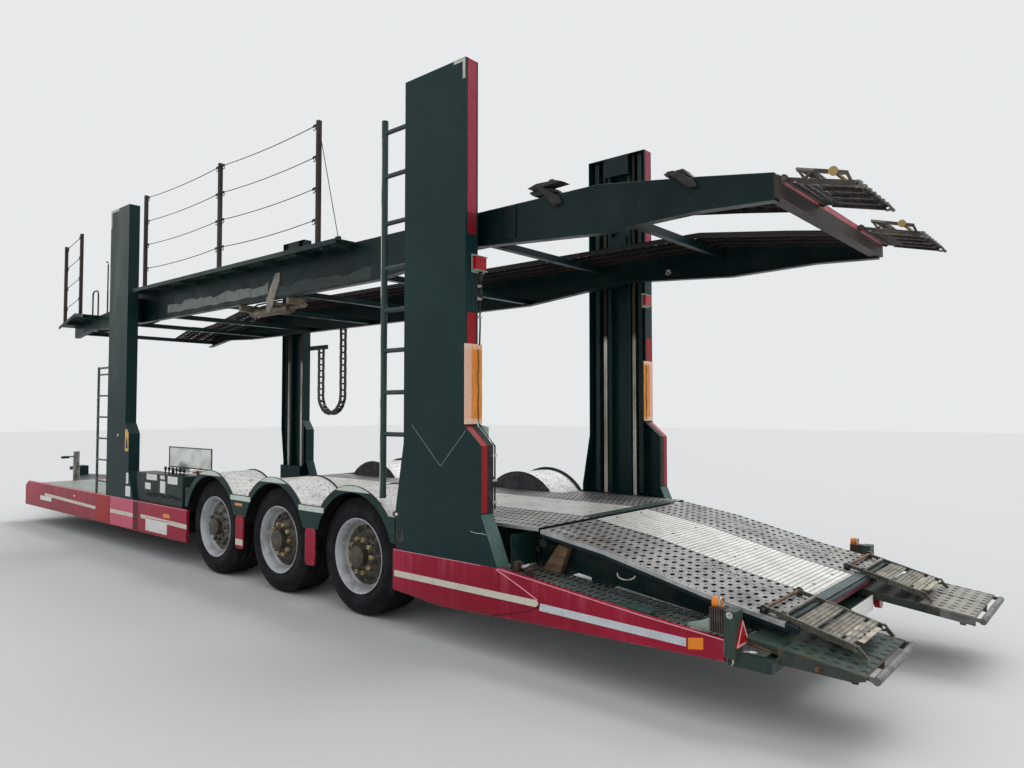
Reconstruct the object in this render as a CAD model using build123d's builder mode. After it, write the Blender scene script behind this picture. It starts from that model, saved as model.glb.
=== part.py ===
# A three-axle drawbar car transporter trailer with a lifting upper deck.
# Millimetres. +X is forwards, towards the towing eye, +Y is the trailer's left and +Z is up.
# The origin is on the ground, under the middle of the whole length and width.
from build123d import *
import math
import os

os.makedirs("parts", exist_ok=True)

# Overall sizes.
half_width = 1275.0
rear_post_x = -4150.0
plate = 10.0
run_gap = 0.4
move_gap = 6.0

# Wheels and axles.
axle_pitch = 1160.0
middle_axle_x = rear_post_x + 2418.0
tyre_radius = 473.0
tyre_width = 370.0
tyre_bead_radius = 292.0
tyre_outer_face = 1218.0
rim_gap = 0.3
hub_radius = 140.0
spindle_radius = 45.0
axle_tube_radius = 65.0
axle_xs = [middle_axle_x + step * axle_pitch for step in (-1, 0, 1)]
wheel_y = tyre_outer_face - tyre_width / 2

# Posts: width along X of the upper part, and the stations of the lower part.
post_top = 4130.0
post_foot = 600.0
post_depth = 125.0
post_wall = 8.0
rear_post_length = 640.0
front_post_x = rear_post_x + 5650.0
front_post_length = 540.0
guide_width = 36.0
rod_radius = 24.0
carrier_height = 520.0

# Lower decks.
deck_half_width = 1030.0
strip_half_width = 365.0
strip_gap = 10.0
track_thickness = 6.0
axle_deck_z = 850.0
front_floor_z = 550.0
track_lip_depth = 24.0
track_lip_width = 5.0
skirt_thickness = 30.0
skirt_bottom = 260.0
skirt_top = 600.0
front_end_x = 5050.0
rear_skirt_end_x = rear_post_x - 1880.0
hinge_tube_radius = 28.0
hinge_x = rear_post_x - 490.0
hinge_z = 755.0
fold_x = hinge_x + 40.0
fold_gap = 18.0

# The tilting rear platform, as stations along its top from its hinge to its tail.
platform_top = [
    (fold_x - fold_gap, 838.0),
    (rear_post_x - 970.0, 762.0),
    (rear_post_x - 1650.0, 608.0),
    (rear_post_x - 2105.0, 524.0),
]
platform_depth = 45.0
platform_end_x = rear_post_x - 2105.0

# Low loading ramps, which slide out from under the platform. The tip is the handle's outer side.
ramp_slope = 7.0
ramp_tip_x = rear_post_x - 2600.0
ramp_tip_z = 375.0
ramp_inner_y = 425.0
ramp_outer_y = 855.0
ramp_wing_y = 1180.0
ramp_length = 1700.0
ramp_depth = 50.0
right_ramp_out = 200.0
handle_radius = 20.0

# Upper deck, as stations (x, z) along the top and the bottom of its side beams.
beam_outer_y = 1030.0
beam_thickness = 70.0
upper_rear_x = rear_post_x - 2080.0
upper_front_x = rear_post_x + 8070.0
upper_top = [
    (upper_rear_x, 2920.0),
    (rear_post_x - 1630.0, 2990.0),
    (rear_post_x - 935.0, 3085.0),
    (rear_post_x + 6000.0, 3100.0),
    (rear_post_x + 6810.0, 2960.0),
    (rear_post_x + 7170.0, 2930.0),
    (rear_post_x + 7470.0, 2970.0),
    (upper_front_x, 2830.0),
]
upper_bottom = [
    (upper_rear_x, 2770.0),
    (rear_post_x - 1630.0, 2790.0),
    (rear_post_x - 935.0, 2770.0),
    (rear_post_x + 120.0, 2840.0),
    (rear_post_x + 1300.0, 2730.0),
    (rear_post_x + 6810.0, 2730.0),
    (rear_post_x + 7470.0, 2760.0),
    (upper_front_x, 2680.0),
]
upper_track_inner_y = 400.0
walkway_outer_y = 1240.0
fence_y = 1200.0
fence_height = 1090.0
fence_post = 36.0
fence_ropes_up = [220.0, 500.0, 780.0, 1060.0]

# Drawbar and jack.
eye_x = 6870.0
eye_z = 620.0
eye_bore_radius = 25.0
eye_outer_radius = 80.0
eye_thickness = 55.0
jack_x = 5500.0
jack_foot_radius = 110.0


def block(x, y, z):
    """A box between the pairs of limits x, y and z."""
    with Locations((x[0], y[0], z[0])):
        Box(x[1] - x[0], y[1] - y[0], z[1] - z[0], align=(Align.MIN, Align.MIN, Align.MIN))


def web(outline, y_from, y_to):
    """A flat plate with its outline in the XZ plane, from y_from to y_to."""
    with BuildSketch(Plane.XZ.offset(-y_from)) as side_view:
        with BuildLine():
            Polyline(*outline, close=True)
        make_face()
    extrude(side_view.sketch, amount=y_from - y_to)


def strip(line, depth, y_from, y_to):
    """A plate that follows a line of stations, depth below it, from y_from to y_to."""
    under = [(x, z - depth) for x, z in reversed(line)]
    web(line + under, y_from, y_to)


def tube_y(x, z, radius, y_from, y_to, mode=Mode.ADD):
    """A round bar along Y."""
    with BuildSketch(Plane.XZ.offset(-y_from)) as section:
        with Locations((x, z)):
            Circle(radius)
    extrude(section.sketch, amount=y_from - y_to, mode=mode)


def tube_z(x, y, radius, z_from, z_to, mode=Mode.ADD):
    """A round bar along Z."""
    with BuildSketch(Plane.XY.offset(z_from)) as section:
        with Locations((x, y)):
            Circle(radius)
    extrude(section.sketch, amount=z_to - z_from, mode=mode)


def tube_x(y, z, radius, x_from, x_to, mode=Mode.ADD):
    """A round bar along X."""
    with BuildSketch(Plane.YZ.offset(x_from)) as section:
        with Locations((y, z)):
            Circle(radius)
    extrude(section.sketch, amount=x_to - x_from, mode=mode)


def level(line, x):
    """The height of a line of stations at x."""
    points = sorted(line)
    for (x0, z0), (x1, z1) in zip(points, points[1:]):
        if x0 <= x <= x1:
            return z0 + (z1 - z0) * (x - x0) / (x1 - x0)
    raise ValueError("x is outside the line")


def between(line, x_from, x_to):
    """The stations of a line from x_from to x_to, with both ends added."""
    inside = [(x, z) for x, z in sorted(line) if x_from < x < x_to]
    return [(x_from, level(line, x_from))] + inside + [(x_to, level(line, x_to))]


def pair(y_from, y_to):
    """The same span of Y on the left and on the right."""
    return [(y_from, y_to), (-y_to, -y_from)]


def keep(shape, name):
    shape.label = name
    export_step(shape, "parts/" + name + ".step")


# Chassis: two cranked main beams, I-sections with a web and two flanges.
beam_y = 440.0
beam_web = 16.0
flange = 16.0
flange_half = 60.0
frame_top_front = front_floor_z - track_thickness
frame_top_mid = axle_deck_z - track_thickness
crank_front_x = rear_post_x + 4550.0
crank_rear_x = rear_post_x + 4150.0
frame_rear_x = hinge_x + 140.0
front_beam_depth = 220.0
mid_beam_depth = 210.0
frame_front_x = front_end_x - 60.0
beam_top = [
    (frame_front_x, frame_top_front),
    (crank_front_x, frame_top_front),
    (crank_rear_x, frame_top_mid),
    (frame_rear_x, frame_top_mid),
]
beam_bottom = [
    (frame_front_x, frame_top_front - front_beam_depth),
    (crank_front_x - 60.0, frame_top_front - front_beam_depth),
    (crank_rear_x - 60.0, frame_top_mid - mid_beam_depth),
    (frame_rear_x, frame_top_mid - mid_beam_depth),
]
cross_half = deck_half_width - 40.0
front_cross_xs = [frame_front_x - 60.0 - step * 1120.0 for step in range(4)]
end_beam = 60.0
fold_bar_front_x = fold_x + 95.0
wall_foot_z = 500.0
wall_top_z = hinge_z - hinge_tube_radius - 15.0
ramp_web_y = ramp_outer_y + run_gap
ramp_web_thickness = 12.0
side_track_y = ramp_web_y + ramp_web_thickness
channel_front_x = ramp_tip_x + ramp_length + 150.0
channel_rear_x = platform_end_x + 40.0


def ramp_line(x):
    """The height of the low ramps' top face at x."""
    return ramp_tip_z + (x - ramp_tip_x) * math.tan(math.radians(ramp_slope))


def wall_outline(x_from, x_to, under, over):
    """A wall that stands on the ramp channel's floor and follows the platform above it."""
    top = [(x, z - platform_depth - over) for x, z in between(platform_top, x_from, x_to)]
    low = [(x_to, ramp_line(x_to) - ramp_depth - under), (x_from, ramp_line(x_from) - ramp_depth - under)]
    return top + low


def channel_floor(x):
    """The height of the underside of the ramp channels' floor at x."""
    return ramp_line(x) - ramp_depth - run_gap - plate


with BuildPart() as main_beams:
    for side in (-1, 1):
        web_y = (side * beam_y - beam_web / 2, side * beam_y + beam_web / 2)
        web(beam_top + list(reversed(beam_bottom)), *web_y)
        for line in (beam_top, [(x, z + flange) for x, z in beam_bottom]):
            strip(line, flange, side * beam_y - flange_half, side * beam_y + flange_half)
keep(main_beams.part, "chassis_beams")


def cross_member(x, half, depth, reach, top):
    """A cross member at x in three lengths: between the main beams, and outboard of each."""
    inner = beam_y - flange_half
    outer = beam_y + flange_half
    for y in [(-inner, inner)] + pair(outer, reach):
        block((x - half, x + half), y, (top - depth, top))


with BuildPart() as cross_members:
    for x in front_cross_xs:
        cross_member(x, 40, 110, cross_half, frame_top_front)
    for x in (crank_rear_x - 200, middle_axle_x + axle_pitch / 2, middle_axle_x - axle_pitch / 2):
        cross_member(x, 50, 120, 700, frame_top_mid)
    for x in (rear_post_x + 80, rear_post_x + 560):
        cross_member(x, 45, 200, 1130, frame_top_mid)
    end_beam_x = (frame_rear_x - end_beam, frame_rear_x)
    block(end_beam_x, (-ramp_outer_y, ramp_outer_y), (560, frame_top_mid))
    block((fold_x, fold_bar_front_x), (-strip_half_width, strip_half_width), (frame_top_mid - 1, axle_deck_z))
    for x in (channel_rear_x + 60, channel_front_x - 60):
        line = [(px, channel_floor(px)) for px in (x - 40, x + 40)]
        strip(line, 70, -side_track_y, side_track_y)
keep(cross_members.part, "chassis_cross_members")

# Ramp channels: an open trough on each side at the tail, which the low ramp slides in.
with BuildPart() as channels:
    wall = wall_outline(channel_rear_x, hinge_x - 90, plate, 2 * move_gap)
    for y in pair(ramp_web_y, ramp_web_y + ramp_web_thickness):
        web(wall, *y)
        block((hinge_x - 91, frame_rear_x - end_beam), y, (wall_foot_z, wall_top_z))
    for y in pair(ramp_inner_y - run_gap - ramp_web_thickness, ramp_inner_y - run_gap):
        web(wall, *y)
        block((hinge_x - 91, frame_rear_x - end_beam), y, (640, wall_top_z))
    floor = [(x, channel_floor(x) + plate) for x in (channel_rear_x, channel_front_x)]
    for y in pair(ramp_inner_y - run_gap - ramp_web_thickness, ramp_web_y + ramp_web_thickness):
        strip(floor, plate, *y)
keep(channels.part, "ramp_channels")

# Drawbar: a tapered box from the front floor to the towing eye.
drawbar_root_half = 480.0
drawbar_tip_half = 70.0
drawbar_tip_x = eye_x - 190.0
jack_y = 440.0
jack_radius = 45.0
with BuildPart() as drawbar:
    with BuildSketch(Plane.XY.offset(380)):
        with BuildLine():
            Polyline(
                (front_end_x, drawbar_root_half),
                (drawbar_tip_x, drawbar_tip_half),
                (drawbar_tip_x, -drawbar_tip_half),
                (front_end_x, -drawbar_root_half),
                close=True,
            )
        make_face()
    extrude(amount=150)
    block((drawbar_tip_x - 260, drawbar_tip_x), (-drawbar_tip_half, drawbar_tip_half), (520, eye_z + 60))
    block((jack_x - 75, jack_x + 75), (200, jack_y + 65), (420, 500))
    tube_z(jack_x, jack_y, jack_radius + run_gap, 410, 510, mode=Mode.SUBTRACT)
keep(drawbar.part, "drawbar")

with BuildPart() as eye:
    tube_z(eye_x, 0, eye_outer_radius, eye_z - eye_thickness / 2, eye_z + eye_thickness / 2)
    tube_x(0, eye_z, 32, drawbar_tip_x, eye_x - eye_outer_radius + 12)
    tube_z(eye_x, 0, eye_bore_radius, eye_z - 60, eye_z + 60, mode=Mode.SUBTRACT)
keep(eye.part, "towing_eye")

# Parking jack: an outer tube beside the drawbar, an inner leg, a foot and a crank.
with BuildPart() as jack:
    tube_z(jack_x, jack_y, jack_radius, 330, 980)
    tube_z(jack_x, jack_y, 36, 18, 335)
    tube_z(jack_x, jack_y, jack_foot_radius, 0, 18)
    tube_y(jack_x, 900, 12, jack_y, jack_y + 170)
    tube_x(jack_y + 160, 900, 12, jack_x - 150, jack_x + 12)
    tube_y(jack_x - 140, 900, 16, jack_y + 150, jack_y + 270)
keep(jack.part, "parking_jack")

# Front floor and front cross panel between the skirts.
floor_half = half_width - skirt_thickness
with BuildPart() as front_floor:
    line = [
        (frame_front_x, front_floor_z),
        (crank_front_x, front_floor_z),
        (crank_rear_x, axle_deck_z),
    ]
    strip(line, track_thickness, -strip_half_width, strip_half_width)
    for y in pair(strip_half_width, deck_half_width):
        strip(line, track_thickness, *y)
    for y in pair(deck_half_width - 1, floor_half):
        strip(line[:2], track_thickness, *y)
keep(front_floor.part, "front_floor")

# Deck over the axles: two wheel tracks between the wheel arches, as far as the platform's hinge.
arch_deck_half = 780.0
track_inner_y = strip_half_width + strip_gap
deck_z = (axle_deck_z - track_thickness, axle_deck_z)
deck_wide_x = rear_post_x + 700.0
with BuildPart() as axle_deck:
    for y in pair(track_inner_y, arch_deck_half):
        block((fold_x, crank_rear_x), y, deck_z)
    for y in pair(arch_deck_half - 1, deck_half_width):
        block((fold_x, deck_wide_x), y, deck_z)
    for y in pair(deck_half_width - track_lip_width, deck_half_width):
        block((fold_x, rear_post_x), y, (axle_deck_z - track_lip_depth, axle_deck_z))
keep(axle_deck.part, "axle_deck")

# Aluminium strip between the wheel tracks.
with BuildPart() as centre_strip:
    block((fold_bar_front_x + run_gap, crank_rear_x), (-strip_half_width, strip_half_width), deck_z)
keep(centre_strip.part, "centre_strip")

# The hinge tube that carries the rear platform, with its ears on the frame.
with BuildPart() as hinge_tube:
    tube_y(hinge_x, hinge_z, hinge_tube_radius, -deck_half_width, deck_half_width)
    for y in (-820, -300, 300, 820):
        block((hinge_x, frame_rear_x - end_beam), (y - 20, y + 20), (hinge_z - 26, hinge_z + 10))
keep(hinge_tube.part, "platform_hinge_tube")

# Skirts: the red panels ahead of the wheels and behind them, the flaps between the wheels and the front
# cross panel.
rear_skirt = [
    (rear_post_x + 755.0, skirt_top),
    (rear_post_x - 300.0, skirt_top),
    (rear_post_x - 1385.0, 490.0),
    (rear_skirt_end_x, 451.0),
    (rear_skirt_end_x, 338.0),
    (rear_post_x - 670.0, 298.0),
    (rear_post_x + 240.0, 262.0),
    (rear_post_x + 755.0, 300.0),
]
front_skirt = [
    (front_end_x, 530.0),
    (front_end_x - 120.0, skirt_top),
    (rear_post_x + 4070.0, skirt_top),
    (rear_post_x + 4070.0, skirt_bottom),
    (front_end_x, skirt_bottom - 10),
]
side_sheet = 14.0
arch_foot_z = 640.0
flap_foot_z = 330.0
flap_half = 70.0
flap_round = 35.0
with BuildPart() as skirts:
    for y in pair(floor_half, half_width):
        web(rear_skirt, *y)
        web(front_skirt, *y)
    for y in pair(half_width - side_sheet, half_width):
        for x in (axle_xs[0] + axle_pitch / 2, axle_xs[1] + axle_pitch / 2):
            with BuildSketch(Plane.XZ.offset(-y[0])) as flap_shape:
                with Locations((x, flap_foot_z)):
                    Rectangle(2 * flap_half, arch_foot_z - flap_foot_z, align=(Align.CENTER, Align.MIN))
                fillet(flap_shape.vertices().group_by(Axis.Z)[0], flap_round)
            extrude(flap_shape.sketch, amount=y[0] - y[1])
    y = floor_half - run_gap
    block((frame_front_x, front_end_x), (-y, y), (skirt_bottom + 30, front_floor_z))
keep(skirts.part, "skirts")

# Wheel arches: a rounded guard over each wheel, closed towards the deck.
arch_radius = 520.0
arch_sheet = 8.0
arch_inner_y = 800.0
arch_centre_z = tyre_radius + 15.0
arch_outer_y = half_width - side_sheet
with BuildPart() as guards:
    for axle_x in axle_xs:
        for y in pair(arch_inner_y, arch_outer_y):
            with BuildSketch(Plane.XZ.offset(-y[0])):
                with Locations((axle_x, arch_centre_z)):
                    Circle(arch_radius + arch_sheet)
                    Circle(arch_radius, mode=Mode.SUBTRACT)
                with Locations((axle_x, arch_foot_z)):
                    Rectangle(3 * arch_radius, 2 * arch_radius, align=(Align.CENTER, Align.MIN),
                              mode=Mode.INTERSECT)
            extrude(amount=y[0] - y[1])
        for y in pair(arch_deck_half, arch_inner_y):
            with BuildSketch(Plane.XZ.offset(-y[0])):
                with Locations((axle_x, arch_centre_z)):
                    Circle(arch_radius + arch_sheet)
                with Locations((axle_x, axle_deck_z - track_thickness)):
                    Rectangle(3 * arch_radius, 2 * arch_radius, align=(Align.CENTER, Align.MIN),
                              mode=Mode.INTERSECT)
            extrude(amount=y[0] - y[1])
keep(guards.part, "wheel_arches")

# Side panels: a green sheet with a cut-out round each wheel.
spandrel_top = 835.0
lip_width = 25.0
with BuildPart() as side_panels:
    for y in pair(arch_outer_y, half_width):
        with BuildSketch(Plane.XZ.offset(-y[0])):
            with Locations((middle_axle_x, arch_foot_z)):
                Rectangle(3 * axle_pitch - 120, spandrel_top - arch_foot_z, align=(Align.CENTER, Align.MIN))
            for axle_x in axle_xs:
                with Locations((axle_x, arch_centre_z)):
                    Circle(arch_radius + arch_sheet + lip_width)
            with Locations((middle_axle_x, arch_foot_z)):
                Rectangle(4 * axle_pitch, 2 * arch_radius, align=(Align.CENTER, Align.MIN),
                          mode=Mode.INTERSECT)
            for axle_x in axle_xs:
                with Locations((axle_x, arch_centre_z)):
                    Circle(arch_radius - lip_width, mode=Mode.SUBTRACT)
        extrude(amount=y[0] - y[1])
keep(side_panels.part, "side_panels")

# Side tracks: low plates inside the rear skirts, outboard of the ramp channels.
side_track_drop = 35.0
skirt_line = [(x, z - side_track_drop) for x, z in rear_skirt[:4]]
with BuildPart() as side_tracks:
    for y in pair(side_track_y, floor_half):
        strip(between(skirt_line, rear_skirt_end_x, rear_post_x - 310), track_thickness, *y)
    for y in pair(floor_half - 30, floor_half):
        strip(between(skirt_line, rear_skirt_end_x, rear_post_x - 310), 60, *y)
keep(side_tracks.part, "side_tracks")


def post_outline(x, length, lower_rear, lower_front, knee):
    """A post's side view: the straight mast and its wider foot."""
    return [
        (x, post_top),
        (x, knee),
        (x - lower_rear, knee - 130),
        (x - lower_rear, 930),
        (x - lower_rear - 150, post_foot),
        (x + length + lower_front, post_foot),
        (x + length + lower_front, 910),
        (x + length, knee - 130),
        (x + length, post_top),
    ]


# Posts: deep channels, open towards the deck, with two guide rails and two bright rods inside. The front
# right one has an arm that the energy chain hangs from.
post_inner_y = half_width - post_depth
posts = {
    "rear": (rear_post_x, rear_post_length, post_outline(rear_post_x, rear_post_length, 150, 85, 1530)),
    "front": (front_post_x, front_post_length, post_outline(front_post_x, front_post_length, 110, -60, 1500)),
}
post_mid = {name: x + length / 2 for name, (x, length, outline) in posts.items()}
rail_offset = 110.0
rod_offset = 165.0
rail_y = (half_width - post_wall - 62, half_width - post_wall)
chain_y = -1090.0
chain_x = (rear_post_x + 4610.0, rear_post_x + 5110.0)
chain_arm_z = (2500.0, 2560.0)
for name, (x, length, outline) in posts.items():
    with BuildPart() as post:
        outer = (post_inner_y, half_width)
        inner = (post_inner_y, half_width - post_wall)
        with BuildSketch(Plane.XZ.offset(-outer[0])):
            with BuildLine():
                Polyline(*outline, close=True)
            make_face()
        extrude(amount=outer[0] - outer[1])
        with BuildSketch(Plane.XZ.offset(-inner[0])):
            with BuildLine():
                Polyline(*outline, close=True)
            make_face()
            offset(amount=-post_wall, kind=Kind.INTERSECTION)
        extrude(amount=inner[0] - inner[1], mode=Mode.SUBTRACT)
        for step in (-rail_offset, rail_offset):
            rail = (post_mid[name] + step - guide_width / 2, post_mid[name] + step + guide_width / 2)
            block(rail, rail_y, (post_foot + post_wall - 1, post_top - post_wall + 1))
        base = (post_inner_y - 20, half_width - post_wall)
        block((x + 20, x + length - 20), base, (post_foot, axle_deck_z - track_thickness))
        if name == "front":
            foot = (post_inner_y - 20, floor_half - run_gap)
            block((x + 20, x + length - 20), foot, (front_floor_z, post_foot + 1))
        mirror(about=Plane.XZ)
        if name == "front":
            arm = (-post_inner_y - 24, -post_inner_y)
            block((chain_x[1] - 40, x + post_wall - 2), arm, chain_arm_z)
            block((chain_x[1] - 40, chain_x[1] + 40), (arm[0], chain_y + 40),
                  (chain_arm_z[0], chain_arm_z[0] + 12))
    keep(post.part, "posts_" + name)

rod_y = half_width - 60
rod_foot = axle_deck_z - track_thickness
with BuildPart() as rods:
    for x in post_mid.values():
        for side in (-1, 1):
            for step in (-rod_offset, rod_offset):
                tube_z(x + step, side * rod_y, rod_radius, rod_foot, post_top - post_wall)
keep(rods.part, "lift_rods")

# Axles with spindles, trailing arms, air bags and air tanks.
with BuildPart() as axles:
    for axle_x in axle_xs:
        tube_y(axle_x, tyre_radius, axle_tube_radius, -800, 800)
        tube_y(axle_x, tyre_radius, spindle_radius, -1160, 1160)
keep(axles.part, "axles")

hanger_xs = [axle_xs[1] - axle_pitch / 2, axle_xs[1] + axle_pitch / 2, crank_rear_x - 200]
arm_y = (560, 640)
arm_z = (tyre_radius + axle_tube_radius, tyre_radius + axle_tube_radius + 40)
hanger_top = frame_top_mid - 120
bag_radius = 98.0
with BuildPart() as arms:
    for axle_x, hanger_x in zip(axle_xs, hanger_xs):
        for y in pair(*arm_y):
            block((axle_x - 300, hanger_x + 40), y, arm_z)
            block((hanger_x - 45, hanger_x + 45), y, (arm_z[0], hanger_top))
            block((axle_x - 50, axle_x + 50), y, (tyre_radius + 55, arm_z[0] + 1))
            tube_y(axle_x, tyre_radius, axle_tube_radius + run_gap, y[0], y[1], mode=Mode.SUBTRACT)
keep(arms.part, "suspension_arms")

with BuildPart() as bags:
    for axle_x in axle_xs:
        for side in (-1, 1):
            bag_y = side * (arm_y[0] + arm_y[1]) / 2
            tube_z(axle_x - 190, bag_y, bag_radius * 0.7, arm_z[1], arm_z[1] + 110)
            tube_z(axle_x - 190, bag_y, bag_radius, arm_z[1] + 100, frame_top_mid - 10)
            tube_z(axle_x - 190, bag_y, bag_radius * 0.8, frame_top_mid - 10, frame_top_mid)
keep(bags.part, "air_bags")

tank_radius = 120.0
tank_y = 730.0
with BuildPart() as tanks:
    for x in (crank_front_x + 500, crank_front_x + 1620):
        for side in (-1, 1):
            tank_z = frame_top_front - 110 - tank_radius
            tube_y(x, tank_z, tank_radius, side * tank_y - 220, side * tank_y + 220)
            block((x - 15, x + 15), (side * tank_y - 40, side * tank_y + 40),
                  (frame_top_front - 120, frame_top_front))
keep(tanks.part, "air_tanks")

# Valve box ahead of the front wheel on the left, with its row of levers, and its see-through cover.
lever_count = 6
lever_pitch = 90.0
lever_height = 42.0
box_x = (rear_post_x + 4240, front_post_x - 270)
box_y = (deck_half_width + run_gap, 1240.0)
box_z = (front_floor_z, 930.0)
cover_height = 235.0
cover_x = (rear_post_x + 4000, rear_post_x + 5000)
with BuildPart() as valve_box:
    block(box_x, box_y, box_z)
    for x in (cover_x[0] + 300, cover_x[1] - 100):
        block((x - 15, x + 15), (box_y[0], box_y[0] + 20), (box_z[1] - 10, box_z[1] + 40))
        tube_x(box_y[0] + 10, box_z[1] + 40, 12, x - 15, x + 15)
        tube_x(box_y[0] + 10, box_z[1] + 40, 6 + run_gap, x - 20, x + 20, mode=Mode.SUBTRACT)
    for step in range(lever_count):
        x = box_x[0] + 180 + step * lever_pitch
        tube_z(x, box_y[0] + 110, 7, box_z[1] - 1, box_z[1] + lever_height)
        tube_z(x, box_y[0] + 110, 14, box_z[1] + lever_height - 1, box_z[1] + lever_height + 24)
keep(valve_box.part, "valve_box")

with BuildPart() as cover:
    tube_x(box_y[0] + 10, box_z[1] + 40, 6, cover_x[0] + 240, cover_x[1])
    block(cover_x, (box_y[0] + 7, box_y[0] + 13), (box_z[1] + 65, box_z[1] + 65 + cover_height))
    for x in (cover_x[0] + 250, cover_x[1] - 60):
        block((x - 8, x + 8), (box_y[0] + 5, box_y[0] + 15), (box_z[1] + 40, box_z[1] + 70))
keep(cover.part, "valve_cover")

# Ladders: the front one stands on the floor beside the front post, the rear one hangs on the rear post.
ladder_y = 1215.0
rail_radius = 15.0
front_ladder_top = 2200.0
rung_pitch = 270.0
front_ladder_x = (front_post_x + 660.0, front_post_x + 1000.0)
rear_ladder_x = rear_post_x + rear_post_length + 310.0
rear_rail_radius = 26.0
rear_rung_radius = 18.0
rung_zs = [1457, 1780, 2105, 2420, 2750, 3105, 3480, 3830]
with BuildPart() as ladders:
    for x in front_ladder_x:
        tube_z(x, ladder_y, rail_radius, front_floor_z, front_ladder_top)
    for step in range(6):
        tube_x(ladder_y, front_floor_z + 200 + step * rung_pitch, rail_radius - 4, *front_ladder_x)
    top_z = front_ladder_top - rail_radius - 1
    tube_x(ladder_y, top_z, rail_radius - 2, front_post_x + front_post_length, front_ladder_x[1])
    tube_z(rear_ladder_x, ladder_y, rear_rail_radius, 960, 3930)
    for z in rung_zs:
        tube_x(ladder_y, z, rear_rung_radius, rear_post_x + rear_post_length, rear_ladder_x)
keep(ladders.part, "ladders")

# Tail: lamp posts at the skirts' ends, and the bar with the blank plate under the platform's end.
lamp_x = rear_skirt_end_x - 60.0
lamp_post_y = (1180.0, half_width)
tail_bar_x = (channel_rear_x - 50, channel_rear_x)
tail_bar_top = channel_floor(channel_rear_x) - 1.0
tail_bar_z = (tail_bar_top - 70, tail_bar_top)
plate_x = tail_bar_x[0] - 35.0
plate_y = (-395.0, 65.0)
round_lamp_y = 620.0
with BuildPart() as tail:
    for y in pair(*lamp_post_y):
        block((lamp_x, rear_skirt_end_x), y, (360, 600))
    for y in pair(lamp_post_y[0] + 20, lamp_post_y[1] - 60):
        web([(rear_skirt_end_x - 1, 450), (rear_skirt_end_x + 150, 480), (rear_skirt_end_x + 120, 540),
             (rear_skirt_end_x - 1, 590)], *y)
    for x in (rear_skirt_end_x + 15, rear_skirt_end_x + 40, rear_skirt_end_x + 65):
        for y in pair(lamp_post_y[0] + 8, lamp_post_y[1] - 36):
            block((x, x + 8), y, (480, 585))
    block(tail_bar_x, (-half_width + 80, half_width - 80), tail_bar_z)
    for y in pair(1190, 1230):
        block((tail_bar_x[0], lamp_x + 20), y, tail_bar_z)
        block((lamp_x, rear_skirt_end_x), y, (tail_bar_z[0], 370))
    for y in (plate_y[0] + 40, plate_y[1] - 60):
        block((plate_x, tail_bar_x[0] + 1), (y, y + 20), (tail_bar_z[0] + 10, tail_bar_z[0] + 30))
    block((plate_x - 6, plate_x), plate_y, (tail_bar_z[0] + 5, tail_bar_z[0] + 105))
keep(tail.part, "tail_bar")

# Red lamps: a triangle reflector on each lamp post, a round lamp on the tail bar, a long lamp on each post.
triangle_side = 150.0
post_lamp_y = (1100.0, 1205.0)
post_lamp_z = (2632.0, 2722.0)
with BuildPart() as red_lamps:
    for side in (-1, 1):
        with BuildSketch(Plane.YZ.offset(lamp_x - 10)):
            with Locations((side * (half_width - triangle_side / 2 - 1), 462)):
                RegularPolygon(triangle_side / math.sqrt(3), 3, rotation=90)
        extrude(amount=10)
        tube_x(side * round_lamp_y, tail_bar_z[0] + 15, 45, tail_bar_x[0] - 40, tail_bar_x[0])
    for y in pair(*post_lamp_y):
        block((rear_post_x - 38, rear_post_x), y, post_lamp_z)
keep(red_lamps.part, "red_lamps")

# Amber lamps: a round one on the bracket ahead of each lamp post.
with BuildPart() as amber_lamps:
    for side in (-1, 1):
        tube_x(side * 1208, 617, 30, rear_skirt_end_x + 40, rear_skirt_end_x + 85)
        tube_z(rear_skirt_end_x + 62, side * 1208, 8, 585, 605)
keep(amber_lamps.part, "amber_lamps")

# Wheels: each tyre and each rim with its hub turns on its spindle.
tyre_profile = [
    (-tyre_width / 2 + 16, tyre_bead_radius),
    (-tyre_width / 2, tyre_radius - 100),
    (-tyre_width / 2 + 40, tyre_radius),
    (tyre_width / 2 - 40, tyre_radius),
    (tyre_width / 2, tyre_radius - 100),
    (tyre_width / 2 - 16, tyre_bead_radius),
]
dish = 150.0
rim_profile = [
    (spindle_radius + run_gap, tyre_width / 2 + 10),
    (110, tyre_width / 2 + 10),
    (hub_radius, tyre_width / 2 - 40),
    (hub_radius + 10, tyre_width / 2 - dish),
    (225, tyre_width / 2 - dish + 15),
    (tyre_bead_radius - 26, tyre_width / 2 - 40),
    (tyre_bead_radius - 9, tyre_width / 2 - 12),
    (tyre_bead_radius + 10, tyre_width / 2 - 2),
    (tyre_bead_radius + 10, tyre_width / 2 - 13),
    (tyre_bead_radius - rim_gap, tyre_width / 2 - 13),
    (tyre_bead_radius - rim_gap, -tyre_width / 2 + 20),
    (tyre_bead_radius - 14, -tyre_width / 2 + 20),
    (215, tyre_width / 2 - dish - 8),
    (hub_radius + 10, tyre_width / 2 - dish - 12),
    (hub_radius, -20),
    (spindle_radius + run_gap, -20),
]


def spun(profile, x, side):
    """A profile of (distance along the axle, radius) pairs turned about an axle at x."""
    points = [(side * (wheel_y + along), radius) for along, radius in profile]
    with BuildSketch(Plane(origin=(x, 0, tyre_radius), x_dir=(0, 1, 0), z_dir=(1, 0, 0))) as section:
        with BuildLine():
            Polyline(*points, close=True)
        make_face()
    revolve(section.sketch, axis=Axis((x, 0, tyre_radius), (0, 1, 0)))


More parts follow.
